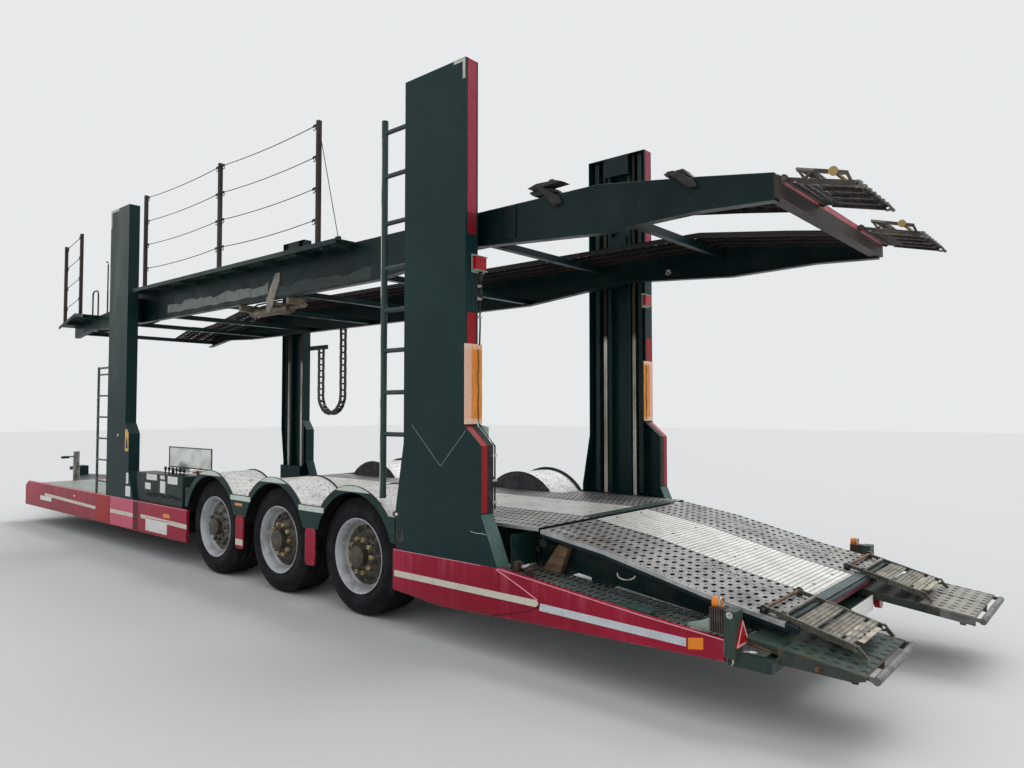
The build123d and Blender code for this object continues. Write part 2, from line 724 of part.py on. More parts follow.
for place, axle_x in zip(("rear", "middle", "front"), axle_xs):
    for hand, side in (("left", 1), ("right", -1)):
        with BuildPart() as tyre:
            spun(tyre_profile, axle_x, side)
        keep(tyre.part, "tyre_" + place + "_" + hand)
        with BuildPart() as rim:
            spun([(along, radius) for radius, along in rim_profile], axle_x, side)
        keep(rim.part, "rim_" + place + "_" + hand)

# Upper deck: cranked side beams, cross members, tracks, carriers, walkway and fence.
carrier_half = rail_offset - guide_width / 2 - run_gap
beam_web_inner = beam_outer_y - 10.0
beam_inner = beam_outer_y - beam_thickness
beam_flange = 12.0
with BuildPart() as upper_beams:
    for y0, y1 in pair(beam_inner, beam_outer_y):
        outer = (beam_web_inner, beam_outer_y) if y1 > 0 else (-beam_outer_y, -beam_web_inner)
        web(upper_bottom + list(reversed(upper_top)), *outer)
        strip(upper_top, beam_flange, y0, y1)
        strip([(x, z + beam_flange) for x, z in upper_bottom], beam_flange, y0, y1)
    z = level(upper_bottom, chain_x[0])
    block((chain_x[0] - 30, chain_x[0] + 30), (chain_y - 40, 1 - beam_outer_y), (z, z + 14))
keep(upper_beams.part, "upper_beams")

cross_depth = 50.0
cross_xs = [rear_post_x + s for s in (1300, 2600, 3900, 5200, 6400, 7900)]
# Two thin square tubes cross under the tracks near the rear posts.
brace_xs = [rear_post_x - 840.0, rear_post_x + 360.0]
brace_side = 56.0
track_drop = 45.0
track_lip = 40.0
track_line = [(x, z - track_drop) for x, z in upper_top]
with BuildPart() as upper_cross:
    for x in brace_xs:
        z = min(level(track_line, x - brace_side / 2), level(track_line, x + brace_side / 2)) - track_lip - 1
        block((x - brace_side / 2, x + brace_side / 2), (-beam_web_inner, beam_web_inner), (z - brace_side, z))
    for x in cross_xs:
        z = max(level(upper_bottom, x - 30), level(upper_bottom, x + 30)) + beam_flange + run_gap
        block((x - 30, x + 30), (-beam_web_inner, beam_web_inner), (z, z + cross_depth))
keep(upper_cross.part, "upper_cross_members")

# Wheel tracks of the upper deck: one panel between each two stations, with a lip and ribs along its underside.
rib_depth = 34.0
rib_half = 5.0
rib_count = 3
panel_gap = 2.0
with BuildPart() as upper_tracks:
    for y0, y1 in pair(upper_track_inner_y, beam_web_inner):
        edge = (y0, y0 + 8) if y0 > 0 else (y1 - 8, y1)
        for (x0, z0), (x1, z1) in zip(track_line, track_line[1:]):
            panel = between([(x0, z0), (x1, z1)], x0 + panel_gap / 2, x1 - panel_gap / 2)
            strip(panel, track_thickness, y0, y1)
            strip(panel, track_lip, *edge)
            for step in range(1, rib_count + 1):
                y = y0 + step * (y1 - y0) / (rib_count + 1)
                strip(panel, rib_depth, y - rib_half, y + rib_half)
keep(upper_tracks.part, "upper_tracks")

# Cylinder that levels the upper deck, on its brackets under the left track, with its lever outside the beam.
cylinder_x = (rear_post_x + 2870.0, rear_post_x + 3560.0)
cylinder_y = 830.0
cylinder_z = 2668.0
cylinder_radius = 52.0
lever_x = (rear_post_x + 2730.0, rear_post_x + 2960.0)
with BuildPart() as deck_cylinder:
    tube_x(cylinder_y, cylinder_z, cylinder_radius, *cylinder_x)
    tube_x(cylinder_y, cylinder_z, 24, cylinder_x[0] - 260, cylinder_x[0] + 1)
    tube_x(cylinder_y, cylinder_z, cylinder_radius + 8, cylinder_x[0], cylinder_x[0] + 40)
    bracket_top = level(upper_bottom, cylinder_x[0])
    for x in (cylinder_x[0] - 250, cylinder_x[1] - 60):
        block((x, x + 40), (cylinder_y - 12, beam_outer_y - 20), (cylinder_z, bracket_top))
    tube_y(lever_x[1] - 40, cylinder_z + 30, 14, cylinder_y, beam_outer_y + run_gap + 12)
    web([(lever_x[1], 2590), (lever_x[1], 2740), (lever_x[0] + 70, 2970), (lever_x[0], 2970),
         (lever_x[0], 2900), (lever_x[1] - 80, 2620)], beam_outer_y + run_gap, beam_outer_y + run_gap + 12)
keep(deck_cylinder.part, "deck_cylinder")

with BuildPart() as carriers:
    for x in post_mid.values():
        for side in (0, 1):
            z = (level(upper_bottom, x), level(upper_bottom, x) + carrier_height)
            y = pair(beam_outer_y, post_inner_y + 70)[side]
            block((x - 70, x + 70), y, (z[0], z[0] + 300))
            y = pair(post_inner_y + 30, half_width - post_wall - move_gap)[side]
            block((x - carrier_half, x + carrier_half), y, z)
keep(carriers.part, "deck_carriers")

walk_rib_pitch = 560.0
walk_spans = [
    (rear_post_x + 1560.0, front_post_x - 40.0),
    (rear_post_x + 7170.0, upper_front_x),
]
with BuildPart() as walkway:
    for span in walk_spans:
        line = between(upper_top, *span)
        strip(line, 40, walkway_outer_y - 8, walkway_outer_y)
        strip(line, 6, beam_outer_y, walkway_outer_y)
        for step in range(int((span[1] - span[0]) / walk_rib_pitch) + 1):
            x = span[0] + 60 + step * walk_rib_pitch
            z = level(line, x)
            block((x - 4, x + 4), (beam_outer_y, walkway_outer_y), (z - 60, z - 3))
keep(walkway.part, "walkway")

fence_xs = [rear_post_x + s for s in (1870, 3600, 5360)]
front_fence_xs = [rear_post_x + s for s in (7380, 7950)]
rope_radius = 5.0
rope_seat = 0.98
with BuildPart() as fence:
    for x in fence_xs + front_fence_xs:
        z = max(level(upper_top, x - fence_post / 2), level(upper_top, x + fence_post / 2)) + run_gap
        block((x - fence_post / 2, x + fence_post / 2), (fence_y - fence_post / 2, fence_y + fence_post / 2),
              (z, z + fence_height))
    for x in (rear_post_x + 6970, rear_post_x + 7290, rear_post_x + 7480):
        z = max(level(upper_top, x - 10), level(upper_top, x + 10)) + run_gap
        tube_z(x, beam_outer_y - 20, 10, z, z + 300)
keep(fence.part, "fence_posts")

with BuildPart() as ropes:
    for ends in (fence_xs[:2], fence_xs[1:], front_fence_xs):
        for up in fence_ropes_up:
            start = Vector(ends[0] + fence_post / 2 + rope_seat, fence_y, level(upper_top, ends[0]) + up)
            stop = Vector(ends[1] - fence_post / 2 - rope_seat, fence_y, level(upper_top, ends[1]) + up)
            run = stop - start
            with BuildSketch(Plane(origin=start, z_dir=run)):
                Circle(rope_radius)
            extrude(amount=run.length)
keep(ropes.part, "fence_ropes")

# Flaps at the platform's end and behind the upper deck: side bars that turn on a rod, with rounded ends and
# a hooked foot, ridged treads between them, a flat bar, and a spring shaft with a round cap near the rod.
bar_thickness = 14.0
bar_thin = 22.0
bar_deep = 34.0
ridge_pitch = 12.0
ridge_height = 6.0
tread_width = 96.0
tread_thickness = 7.0
eye_radius = 20.0
eye_hole = 9.0
spring_radius = 13.0
cap_radius = 24.0


def ridged(line, x_from, width, drop):
    """The side view of a tread with sawtooth ridges along a line."""
    teeth = []
    for step in range(int(width / ridge_pitch)):
        x = x_from + step * ridge_pitch
        teeth.append((x, level(line, x) - drop))
        teeth.append((x + ridge_pitch / 2, level(line, x + ridge_pitch / 2) - drop + ridge_height))
    x_to = x_from + width
    teeth.append((x_to, level(line, x_to) - drop))
    return teeth + [(x_to, level(line, x_to) - drop - tread_thickness),
                    (x_from, level(line, x_from) - drop - tread_thickness)]


def side_bar(line, y, tip_x, thick_x, hook):
    """A flap's side bar: thin near its rod, deeper from thick_x to its round tip, with an eye and a hook."""
    strip(between(line, tip_x + eye_radius, line[0][0]), bar_thin, *y)
    strip(between(line, tip_x + eye_radius, thick_x), bar_deep, *y)
    tip_z = level(line, tip_x + eye_radius) - eye_radius + 2
    tube_y(tip_x + eye_radius, tip_z, eye_radius, *y)
    web([(tip_x + 26, tip_z - 12), (tip_x + 2, tip_z + 6), (tip_x - hook, tip_z - hook),
         (tip_x - hook + 14, tip_z - hook - 10), (tip_x + 6, tip_z - 20)], *y)
    tube_y(tip_x + eye_radius, tip_z, eye_hole, y[0] - 1, y[1] + 1, mode=Mode.SUBTRACT)


# Upper ramps, hinged behind the upper deck's rear end.
upper_hinge_x = upper_rear_x - 48.0
upper_hinge_z = 2880.0
upper_ramp_y = (405.0, 1000.0)
upper_ramp_tip_x = rear_post_x - 2510.0
upper_ramp_tip_z = 2797.0
end_beam_z = (2785.0, 2905.0)
end_flange_x = upper_rear_x + 50.0
with BuildPart() as upper_ears:
    for y0, y1 in pair(*upper_ramp_y):
        for y in ((y0 - 22, y0 - 8), (y1 + 8, y1 + 22)):
            block((upper_hinge_x, upper_rear_x - 10), y, (upper_hinge_z - 14, upper_hinge_z + 14))
            tube_y(upper_hinge_x, upper_hinge_z, 22, *y)
            tube_y(upper_hinge_x, upper_hinge_z, 10 + run_gap, y[0] - 1, y[1] + 1, mode=Mode.SUBTRACT)
    block((upper_rear_x - 24, upper_rear_x), (-beam_outer_y, beam_outer_y), end_beam_z)
    block((upper_rear_x - 1, end_flange_x), (-beam_inner + move_gap, beam_inner - move_gap),
          (end_beam_z[0], end_beam_z[0] + beam_flange))
keep(upper_ears.part, "upper_ramp_ears")

upper_line = [(upper_hinge_x, upper_hinge_z + 12), (upper_ramp_tip_x, upper_ramp_tip_z)]
lid_line = [(upper_hinge_x - 60.0, 2932.0), (upper_ramp_tip_x + 62.0, 2860.0)]
lid_rear_x = upper_hinge_x - 145.0
strut_width = 16.0
strut_ends = [(-70.0, -110.0), (-150.0, -110.0), (-150.0, -190.0), (-318.0, -340.0)]
roller_x = upper_ramp_tip_x + 135.0
roller_radius = 24.0
tooth_count = 7
tooth_length = 24.0
tooth_half = 20.0
tooth_depth = 12.0
for hand, side in (("left", 0), ("right", 1)):
    with BuildPart() as ramp:
        y = pair(*upper_ramp_y)[side]
        tube_y(upper_hinge_x, upper_hinge_z, 10, y[0] - 24, y[1] + 24)
        for edge in ((y[0], y[0] + bar_thickness), (y[1] - bar_thickness, y[1])):
            side_bar(upper_line, edge, upper_ramp_tip_x, upper_hinge_x - 60, 20)
            strip(lid_line, bar_thin, *edge)
            for from_top, from_low in strut_ends:
                x_top = upper_hinge_x + from_top
                x_low = upper_hinge_x + from_low
                z_top = level(lid_line, x_top) - 2
                z_low = level(upper_line, x_low) - 2
                web([(x_top, z_top), (x_top + strut_width, z_top), (x_low + strut_width, z_low),
                     (x_low, z_low)], *edge)
            tube_y(roller_x, level(lid_line, roller_x) - 6, roller_radius, *edge)
        tube_y(roller_x, level(lid_line, roller_x) - 6, 10, *y)
        strip(between(lid_line, lid_rear_x, lid_line[0][0]), track_thickness, *y)
        plate_line = between(upper_line, upper_ramp_tip_x + 30, lid_rear_x)
        strip(plate_line, track_thickness, *y)
        for step in range(1, rib_count + 1):
            rib_y = y[0] + step * (y[1] - y[0]) / (rib_count + 1)
            strip(plate_line, rib_depth, rib_y - rib_half, rib_y + rib_half)
        for step in range(tooth_count):
            tooth_y = y[0] + (step + 0.5) * (y[1] - y[0]) / tooth_count
            tooth_x = (upper_ramp_tip_x + 31 - tooth_length, upper_ramp_tip_x + 31)
            tooth_z = level(upper_line, upper_ramp_tip_x + 30)
            block(tooth_x, (tooth_y - tooth_half, tooth_y + tooth_half), (tooth_z - tooth_depth, tooth_z))
    keep(ramp.part, "upper_ramp_" + hand)

# Rear platform: outer and inner rails, hinge lugs, cross rails and the round end bar.
platform_x = (platform_end_x, platform_top[0][0])
under_plate = [(x, z - track_thickness) for x, z in platform_top]
outer_rail = (deck_half_width - 45.0, deck_half_width - track_lip_width)
rail_nose_x = platform_end_x - 50.0
nose_radius = 24.0
lug_ys = (-600.0, -100.0, 100.0, 600.0)
lug_x = (hinge_x - 30.0, hinge_x + 10.0)
cross_rail = 35.0
end_bar_radius = 18.0
with BuildPart() as platform_frame:
    for y in pair(*outer_rail):
        strip(under_plate, platform_depth - track_thickness, *y)
        nose_z = level(under_plate, platform_end_x) - nose_radius
        web([(rail_nose_x, nose_z - nose_radius + 8), (platform_end_x + 2, nose_z - 14),
             (platform_end_x + 2, nose_z + nose_radius), (rail_nose_x, nose_z + nose_radius - 8)], *y)
        tube_y(rail_nose_x, nose_z, nose_radius - 7, *y)
    for y in pair(strip_half_width - 15, strip_half_width + 15):
        strip(under_plate, platform_depth - track_thickness, *y)
    for x in (platform_x[1] - 40, rear_post_x - 1300, platform_end_x + 5):
        z = min(level(under_plate, x), level(under_plate, x + cross_rail))
        block((x, x + cross_rail), (-outer_rail[1], outer_rail[1]), (z - platform_depth + 10, z - 1))
    tube_y(platform_end_x - 4, level(under_plate, platform_end_x) - 20, end_bar_radius, -430, 430)
    for y in lug_ys:
        block(lug_x, (y - 20, y + 20), (hinge_z, level(under_plate, lug_x[0]) - 1))
        tube_y(hinge_x, hinge_z, hinge_tube_radius + 12, y - 20, y + 20)
        tube_y(hinge_x, hinge_z, hinge_tube_radius + run_gap, y - 21, y + 21, mode=Mode.SUBTRACT)
keep(platform_frame.part, "platform_frame")

# Wheel tracks of the platform, with the lugs that carry each deck flap's rod.
flap_hinge_x = rear_post_x - 1980.0
flap_hinge_z = level(platform_top, flap_hinge_x) + 24.0
flap_y = (470.0, deck_half_width - 50.0)
flap_rod = 11.0
with BuildPart() as platform_plates:
    for y in pair(track_inner_y, deck_half_width):
        strip(platform_top, track_thickness, *y)
    for y in pair(deck_half_width - track_lip_width, deck_half_width):
        strip(platform_top, track_lip_depth, *y)
    for y0, y1 in pair(*flap_y):
        for y in ((y0 - 20, y0 - 8), (y1 + 8, y1 + 20)):
            block((flap_hinge_x - 20, flap_hinge_x + 20), y, (flap_hinge_z - 26.5, flap_hinge_z))
            tube_y(flap_hinge_x, flap_hinge_z, 20, *y)
            tube_y(flap_hinge_x, flap_hinge_z, flap_rod + run_gap, y[0] - 1, y[1] + 1, mode=Mode.SUBTRACT)
keep(platform_plates.part, "platform_plates")

with BuildPart() as platform_strip:
    strip(platform_top, track_thickness, -strip_half_width, strip_half_width)
keep(platform_strip.part, "platform_strip")

# Deck flaps at the platform's end.
flap_tip_x = rear_post_x - 2465.0
flap_tip_z = 458.0
flap_line = [(flap_hinge_x, flap_hinge_z + 12), (flap_tip_x, flap_tip_z)]
flap_thick_x = platform_end_x - 20.0
for hand, side in (("left", 0), ("right", 1)):
    with BuildPart() as flap:
        y = pair(*flap_y)[side]
        for edge in ((y[0], y[0] + bar_thickness), (y[1] - bar_thickness, y[1])):
            side_bar(flap_line, edge, flap_tip_x, flap_thick_x, 36)
        tube_y(flap_hinge_x, flap_hinge_z, flap_rod, y[0] - 22, y[1] + 22)
        for x in (flap_tip_x + 110, flap_tip_x + 230):
            web(ridged(flap_line, x, tread_width, 10), *y)
        tube_y(flap_hinge_x - 95, level(flap_line, flap_hinge_x - 95) - 10, spring_radius, *y)
        tube_y(flap_hinge_x - 95, level(flap_line, flap_hinge_x - 95) - 8, cap_radius - 6, y[1] - 40, y[1] - 13)
        strip(between(flap_line, flap_tip_x + 45, flap_tip_x + 85), 12, *y)
    keep(flap.part, "deck_flap_" + hand)

# Low ramps: a long tread between the channel walls, a wing outside them at the tail with a sloping side
# plate, two feet, and the round handle across the tip.
wing_length = channel_rear_x - 60.0 - ramp_tip_x
plate_start = 60.0
wedge_depth = 80.0
foot_top = 110.0
foot_depth = 105.0
handle_y = (ramp_inner_y + 5.0, ramp_wing_y - 30.0)
with_out = {"left": 0.0, "right": right_ramp_out}
for side, (hand, out) in enumerate(with_out.items()):
    with BuildPart() as low_ramp:
        x0 = ramp_tip_x - out * math.cos(math.radians(ramp_slope))
        line = [(px, ramp_line(px)) for px in (x0 + plate_start, x0 + ramp_length)]
        y = pair(ramp_inner_y, ramp_outer_y)[side]
        strip(line, track_thickness, *y)
        for edge in ((y[0], y[0] + 10), (y[1] - 10, y[1])):
            strip(line, ramp_depth, *edge)
        wing = [(px, ramp_line(px)) for px in (x0 + plate_start, x0 + wing_length)]
        strip(wing, track_thickness, *pair(ramp_outer_y - 1, ramp_wing_y)[side])
        for wy in (pair(ramp_wing_y - 12, ramp_wing_y)[side], pair(ramp_outer_y + 2, ramp_outer_y + 12)[side]):
            web([(wing[0][0], wing[0][1]), (wing[1][0], wing[1][1]), (wing[1][0], wing[1][1] - wedge_depth),
                 (wing[0][0] + 60, wing[0][1] - 36), (wing[0][0], wing[0][1] - 20)], *wy)
        for foot in (pair(600, 616)[side], pair(1000, 1016)[side]):
            z = ramp_line(x0 + foot_top)
            web([(x0 + foot_top, z - 1), (x0 + foot_top + 90, z - 1), (x0 + foot_top + 62, z - foot_depth),
                 (x0 + foot_top + 32, z - foot_depth)], *foot)
        handle_x = x0 + handle_radius
        handle_z = ramp_line(x0) - 10
        tube_y(handle_x, handle_z, handle_radius, *pair(*handle_y)[side])
        for arm in (pair(handle_y[0], handle_y[0] + 16)[side], pair(handle_y[1] - 16, handle_y[1])[side]):
            web([(handle_x, handle_z - 14), (x0 + plate_start + 30, line[0][1] - 14),
                 (x0 + plate_start + 30, line[0][1] + 1), (handle_x, handle_z + 14)], *arm)
    keep(low_ramp.part, "low_ramp_" + hand)

# Energy chain: a hanging loop of links with two side plates and a cross bar each, which feeds the lifting
# deck, on a bracket from the front right post.
chain_radius = (chain_x[1] - chain_x[0]) / 2
chain_low = 1584.0
chain_link = 84.0
chain_half_depth = 26.0
chain_half_width = 40.0
link_plate = 6.0
link_overlap = 20.0
chain_end_gap = run_gap + link_overlap / 2
chain_top = (level(upper_bottom, chain_x[0]) - chain_end_gap, chain_arm_z[0] - chain_end_gap)
turn_z = chain_low + chain_half_depth + chain_radius
down_length = chain_top[0] - turn_z
turn_length = math.pi * chain_radius
chain_length = down_length + turn_length + chain_top[1] - turn_z


def chain_place(along):
    """The place and the direction of the chain's middle line at a distance from its upper end."""
    if along < down_length:
        return chain_x[0], chain_top[0] - along, -90.0
    if along < down_length + turn_length:
        turn = (along - down_length) / chain_radius
        x = chain_x[0] + chain_radius * (1 - math.cos(turn))
        return x, turn_z - chain_radius * math.sin(turn), math.degrees(turn) - 90.0
    return chain_x[1], turn_z + along - down_length - turn_length, 90.0


link_count = int(chain_length / chain_link)
link_pitch = chain_length / link_count
with BuildPart() as chain:
    for parity in (0, 1):
        shift = parity * link_plate / 2
        for y0 in (chain_y - chain_half_width + shift, chain_y + chain_half_width - link_plate - shift):
            with BuildSketch(Plane.XZ.offset(-y0)) as plates:
                for step in range(parity, link_count, 2):
                    x, z, turn = chain_place((step + 0.5) * link_pitch)
                    with Locations(Location((x, z, 0), (0, 0, turn))):
                        Rectangle(link_pitch + link_overlap, 2 * chain_half_depth)
                        Rectangle(link_pitch - link_overlap, 2 * chain_half_depth)
            extrude(plates.sketch, amount=-link_plate)
    with BuildSketch(Plane.XZ.offset(-chain_y + chain_half_width - 1)) as bars:
        for step in range(link_count):
            x, z, turn = chain_place((step + 0.5) * link_pitch)
            with Locations(Location((x, z, 0), (0, 0, turn))):
                with Locations((0, chain_half_depth - 5), (0, 5 - chain_half_depth)):
                    Rectangle(22, 8)
    extrude(bars.sketch, amount=2 - 2 * chain_half_width)
keep(chain.part, "energy_chain")
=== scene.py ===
# Three-axle drawbar car transporter trailer: the finish of each solid, and the fine pieces on it.
# Metres. +X is forwards, towards the towing eye, +Y is the trailer's left and +Z is up.
import bmesh
import bpy
import math
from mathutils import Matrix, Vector


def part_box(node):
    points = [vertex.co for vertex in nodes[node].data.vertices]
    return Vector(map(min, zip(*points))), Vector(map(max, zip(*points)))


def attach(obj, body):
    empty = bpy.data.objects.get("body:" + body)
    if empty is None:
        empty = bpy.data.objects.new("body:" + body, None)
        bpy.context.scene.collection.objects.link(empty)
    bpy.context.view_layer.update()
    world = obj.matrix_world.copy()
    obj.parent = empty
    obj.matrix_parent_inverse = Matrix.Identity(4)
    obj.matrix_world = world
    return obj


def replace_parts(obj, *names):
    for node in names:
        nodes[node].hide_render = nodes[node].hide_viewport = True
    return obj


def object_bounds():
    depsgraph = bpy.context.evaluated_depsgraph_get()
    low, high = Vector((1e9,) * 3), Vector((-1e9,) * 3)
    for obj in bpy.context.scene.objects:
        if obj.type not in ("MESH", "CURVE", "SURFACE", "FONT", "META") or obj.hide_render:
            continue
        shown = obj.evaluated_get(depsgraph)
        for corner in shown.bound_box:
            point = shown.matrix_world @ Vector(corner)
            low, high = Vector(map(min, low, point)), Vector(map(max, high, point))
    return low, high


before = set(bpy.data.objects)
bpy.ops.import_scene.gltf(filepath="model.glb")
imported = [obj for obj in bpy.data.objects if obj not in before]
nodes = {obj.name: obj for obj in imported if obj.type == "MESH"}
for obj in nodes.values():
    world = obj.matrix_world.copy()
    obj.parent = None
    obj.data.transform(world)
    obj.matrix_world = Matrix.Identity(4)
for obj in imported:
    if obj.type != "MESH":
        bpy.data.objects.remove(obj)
cad_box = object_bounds()

# Camera: it stands behind the trailer, off its left rear corner, at a standing person's eye height.
camera_place = Vector((-7.721, 4.922, 1.635))
camera_heading = math.radians(-49.25)
camera_rise = math.radians(2.11)
camera_data = bpy.data.cameras.new("camera")
camera_data.sensor_width = 36.0
camera_data.lens = 25.89
camera_data.clip_end = 200.0
camera = bpy.data.objects.new("camera", camera_data)
bpy.context.scene.collection.objects.link(camera)
camera.location = camera_place
camera.rotation_euler = (math.pi / 2 + camera_rise, 0, camera_heading - math.pi / 2)
bpy.context.scene.camera = camera
bpy.context.scene.view_settings.view_transform = "Standard"


def shade(red, green, blue):
    """A linear colour from the everyday 0 to 255 values."""
    parts = []
    for value in (red, green, blue):
        level = value / 255
        parts.append(level / 12.92 if level <= 0.04045 else ((level + 0.055) / 1.055) ** 2.4)
    return (*parts, 1.0)


def add(tree, kind, sockets, **settings):
    """Adds a node, sets its settings, and gives its sockets a value or a link."""
    made = tree.nodes.new(kind)
    for name, value in settings.items():
        setattr(made, name, value)
    for key, value in sockets.items():
        if isinstance(value, bpy.types.NodeSocket):
            tree.links.new(value, made.inputs[key])
        else:
            made.inputs[key].default_value = value
    return made

# Studio: a soft overcast sky, one broad lamp high on the left, and a pale floor.
world = bpy.data.worlds.new("overcast")
bpy.context.scene.world = world
world.use_nodes = True
sky = world.node_tree
sky.nodes.clear()
ray = add(sky, "ShaderNodeLightPath", {})
seen = ray.outputs["Is Camera Ray"]
for way in ("Is Transmission Ray", "Is Glossy Ray"):
    seen = add(sky, "ShaderNodeMath", {0: seen, 1: ray.outputs[way]}, operation="MAXIMUM").outputs[0]
heights = add(sky, "ShaderNodeSeparateXYZ", {0: add(sky, "ShaderNodeTexCoord", {}).outputs["Generated"]})
lift = add(sky, "ShaderNodeMapRange", {"Value": heights.outputs["Z"], "From Min": -0.2, "From Max": 0.7,
                                       "To Min": 0.35, "To Max": 1.15})
overcast = add(sky, "ShaderNodeBackground", {"Color": (0.93, 0.96, 1.0, 1.0), "Strength": lift.outputs[0]})
backdrop = add(sky, "ShaderNodeBackground", {"Color": (0.80, 0.82, 0.83, 1.0), "Strength": 1.0})
shown = add(sky, "ShaderNodeMixShader", {0: seen, 1: overcast.outputs[0], 2: backdrop.outputs[0]})
add(sky, "ShaderNodeOutputWorld", {"Surface": shown.outputs[0]})

lamp_data = bpy.data.lights.new("soft_lamp", "SUN")
lamp_data.energy = 1.5
lamp_data.angle = math.radians(40)
lamp = bpy.data.objects.new("soft_lamp", lamp_data)
lamp.rotation_euler = (math.radians(32), math.radians(-18), math.radians(20))
bpy.context.scene.collection.objects.link(lamp)

floor_reach = 60.0
floor_mesh = bpy.data.meshes.new("floor")
floor_mesh.from_pydata(
    [(-floor_reach, -floor_reach, 0), (floor_reach, -floor_reach, 0), (floor_reach, floor_reach, 0),
     (-floor_reach, floor_reach, 0)], [], [(0, 1, 2, 3)])
floor = bpy.data.objects.new("floor", floor_mesh)
bpy.context.scene.collection.objects.link(floor)
floor_finish = bpy.data.materials.new("pale_floor")
floor_finish.use_nodes = True
floor_finish.node_tree.nodes["Principled BSDF"].inputs["Base Color"].default_value = (0.52, 0.52, 0.51, 1.0)
floor_finish.node_tree.nodes["Principled BSDF"].inputs["Roughness"].default_value = 0.9
floor_mesh.materials.append(floor_finish)


def finish(name, roughness=0.5, metallic=0.0, specular=0.5):
    """Starts a material. The steps below, down to edges, add to the one that was started last."""
    global tree, shader, coords
    material = bpy.data.materials.new(name)
    material.use_nodes = True
    tree = material.node_tree
    shader = tree.nodes["Principled BSDF"]
    shader.inputs["Roughness"].default_value = roughness
    shader.inputs["Metallic"].default_value = metallic
    shader.inputs["Specular IOR Level"].default_value = specular
    coords = add(tree, "ShaderNodeTexCoord", {}).outputs["Object"]
    return material


def cloud(scale, stretch=(1, 1, 1), detail=5.0, roughness=0.6):
    """Noise from 0 to 1, stretched along the axes."""
    placed = add(tree, "ShaderNodeMapping", {"Vector": coords, "Scale": stretch})
    made = add(tree, "ShaderNodeTexNoise", {"Vector": placed.outputs[0], "Scale": scale, "Detail": detail,
                                            "Roughness": roughness})
    return made.outputs["Fac"]


def fade(value, start, end, low=0.0, high=1.0):
    """Maps a value from start..end to low..high, held at the ends."""
    return add(tree, "ShaderNodeMapRange", {"Value": value, "From Min": start, "From Max": end,
                                            "To Min": low, "To Max": high}).outputs[0]


def patches(scale, start, end, low=0.0, high=1.0, **look):
    """Noise, mapped from start..end to low..high."""
    return fade(cloud(scale, **look), start, end, low, high)


def work_out(operation, first, second):
    """Two values worked into one."""
    return add(tree, "ShaderNodeMath", {0: first, 1: second}, operation=operation).outputs[0]


def product(first, second):
    """Two values multiplied."""
    return work_out("MULTIPLY", first, second)


def along(axis, across=False, normal=False):
    """One of the coordinates, or of the surface's normal. Across, it is the distance from the middle."""
    vector = add(tree, "ShaderNodeNewGeometry", {}).outputs["Normal"] if normal else coords
    value = add(tree, "ShaderNodeSeparateXYZ", {0: vector}).outputs[axis]
    return work_out("ABSOLUTE", value, 0.0) if across else value


def tint(amount, under, over):
    """One colour laid over another by an amount. A colour is a step's result, or plain 0 to 255 values."""
    under, over = (shade(*colour) if isinstance(colour, tuple) else colour for colour in (under, over))
    return add(tree, "ShaderNodeMix", {0: amount, 6: under, 7: over}, data_type="RGBA").outputs[2]


def paint(colour):
    """Gives the surface its colour."""
    tree.links.new(colour, shader.inputs["Base Color"])


def relief(height, strength, distance=0.002):
    """Turns a height into bump."""
    made = add(tree, "ShaderNodeBump", {"Height": height, "Strength": strength, "Distance": distance})
    tree.links.new(made.outputs[0], shader.inputs["Normal"])


def edges(width):
    """Marks the worn edges of a solid: 1 within about the width of an edge, and 0 elsewhere."""
    rounded = add(tree, "ShaderNodeBevel", {"Radius": width}, samples=4)
    flat = add(tree, "ShaderNodeNewGeometry", {})
    turn = add(tree, "ShaderNodeVectorMath", {0: rounded.outputs[0], 1: flat.outputs["Normal"]},
               operation="DOT_PRODUCT")
    return fade(turn.outputs["Value"], 0.995, 0.90)


def worn_paint(name, colour, faded, chips, roughness=0.38, dust=0.25, wear=0.6, mud=(96, 94, 84)):
    """Sprayed paint that has faded in clouds, run in streaks, chipped at its edges and gathered dust."""
    material = finish(name, roughness, 0.0, 0.18)
    painted = tint(patches(1.4, 0.42, 0.68), colour, faded)
    painted = tint(patches(9.0, 0.52, 0.75, 0.0, 0.35, stretch=(1, 1, 0.08)), painted, faded)
    dusty = patches(5.0, 0.50, 0.80, 0.0, dust, detail=8.0)
    painted = tint(dusty, painted, mud)
    chipped = product(edges(0.006), patches(26.0, 0.48, 0.60, 0.0, wear))
    spots = patches(55.0, 0.72, 0.75, 0.0, wear, detail=2.0)
    paint(tint(work_out("MAXIMUM", chipped, spots), painted, chips))
    tree.links.new(fade(dusty, 0.0, dust + 0.01, roughness, 0.8), shader.inputs["Roughness"])
    relief(cloud(160.0, detail=2.0), 0.12, 0.0006)
    return material


def dress(material, *names):
    """Gives solids a material."""
    for name in names:
        nodes[name].data.materials.clear()
        nodes[name].data.materials.append(material)

# Chassis: pressed and welded steel beams, cross members and ramp channels, sprayed in a very dark green
# that has faded in clouds and chipped at its edges.
dark_green = (10, 32, 32)
worn_green = (20, 46, 44)
bare_spots = (92, 86, 74)
green_paint = worn_paint("green_paint", dark_green, worn_green, bare_spots)
dress(green_paint, "chassis_beams", "chassis_cross_members", "ramp_channels", "drawbar")

# Towing eye: forged steel on the drawbar's tip, bare and greased.
steel = finish("forged_steel", 0.45, 0.8)
paint(tint(patches(12.0, 0.4, 0.6), (52, 48, 44), (92, 70, 52)))
relief(cloud(60.0), 0.3)
dress(steel, "towing_eye")


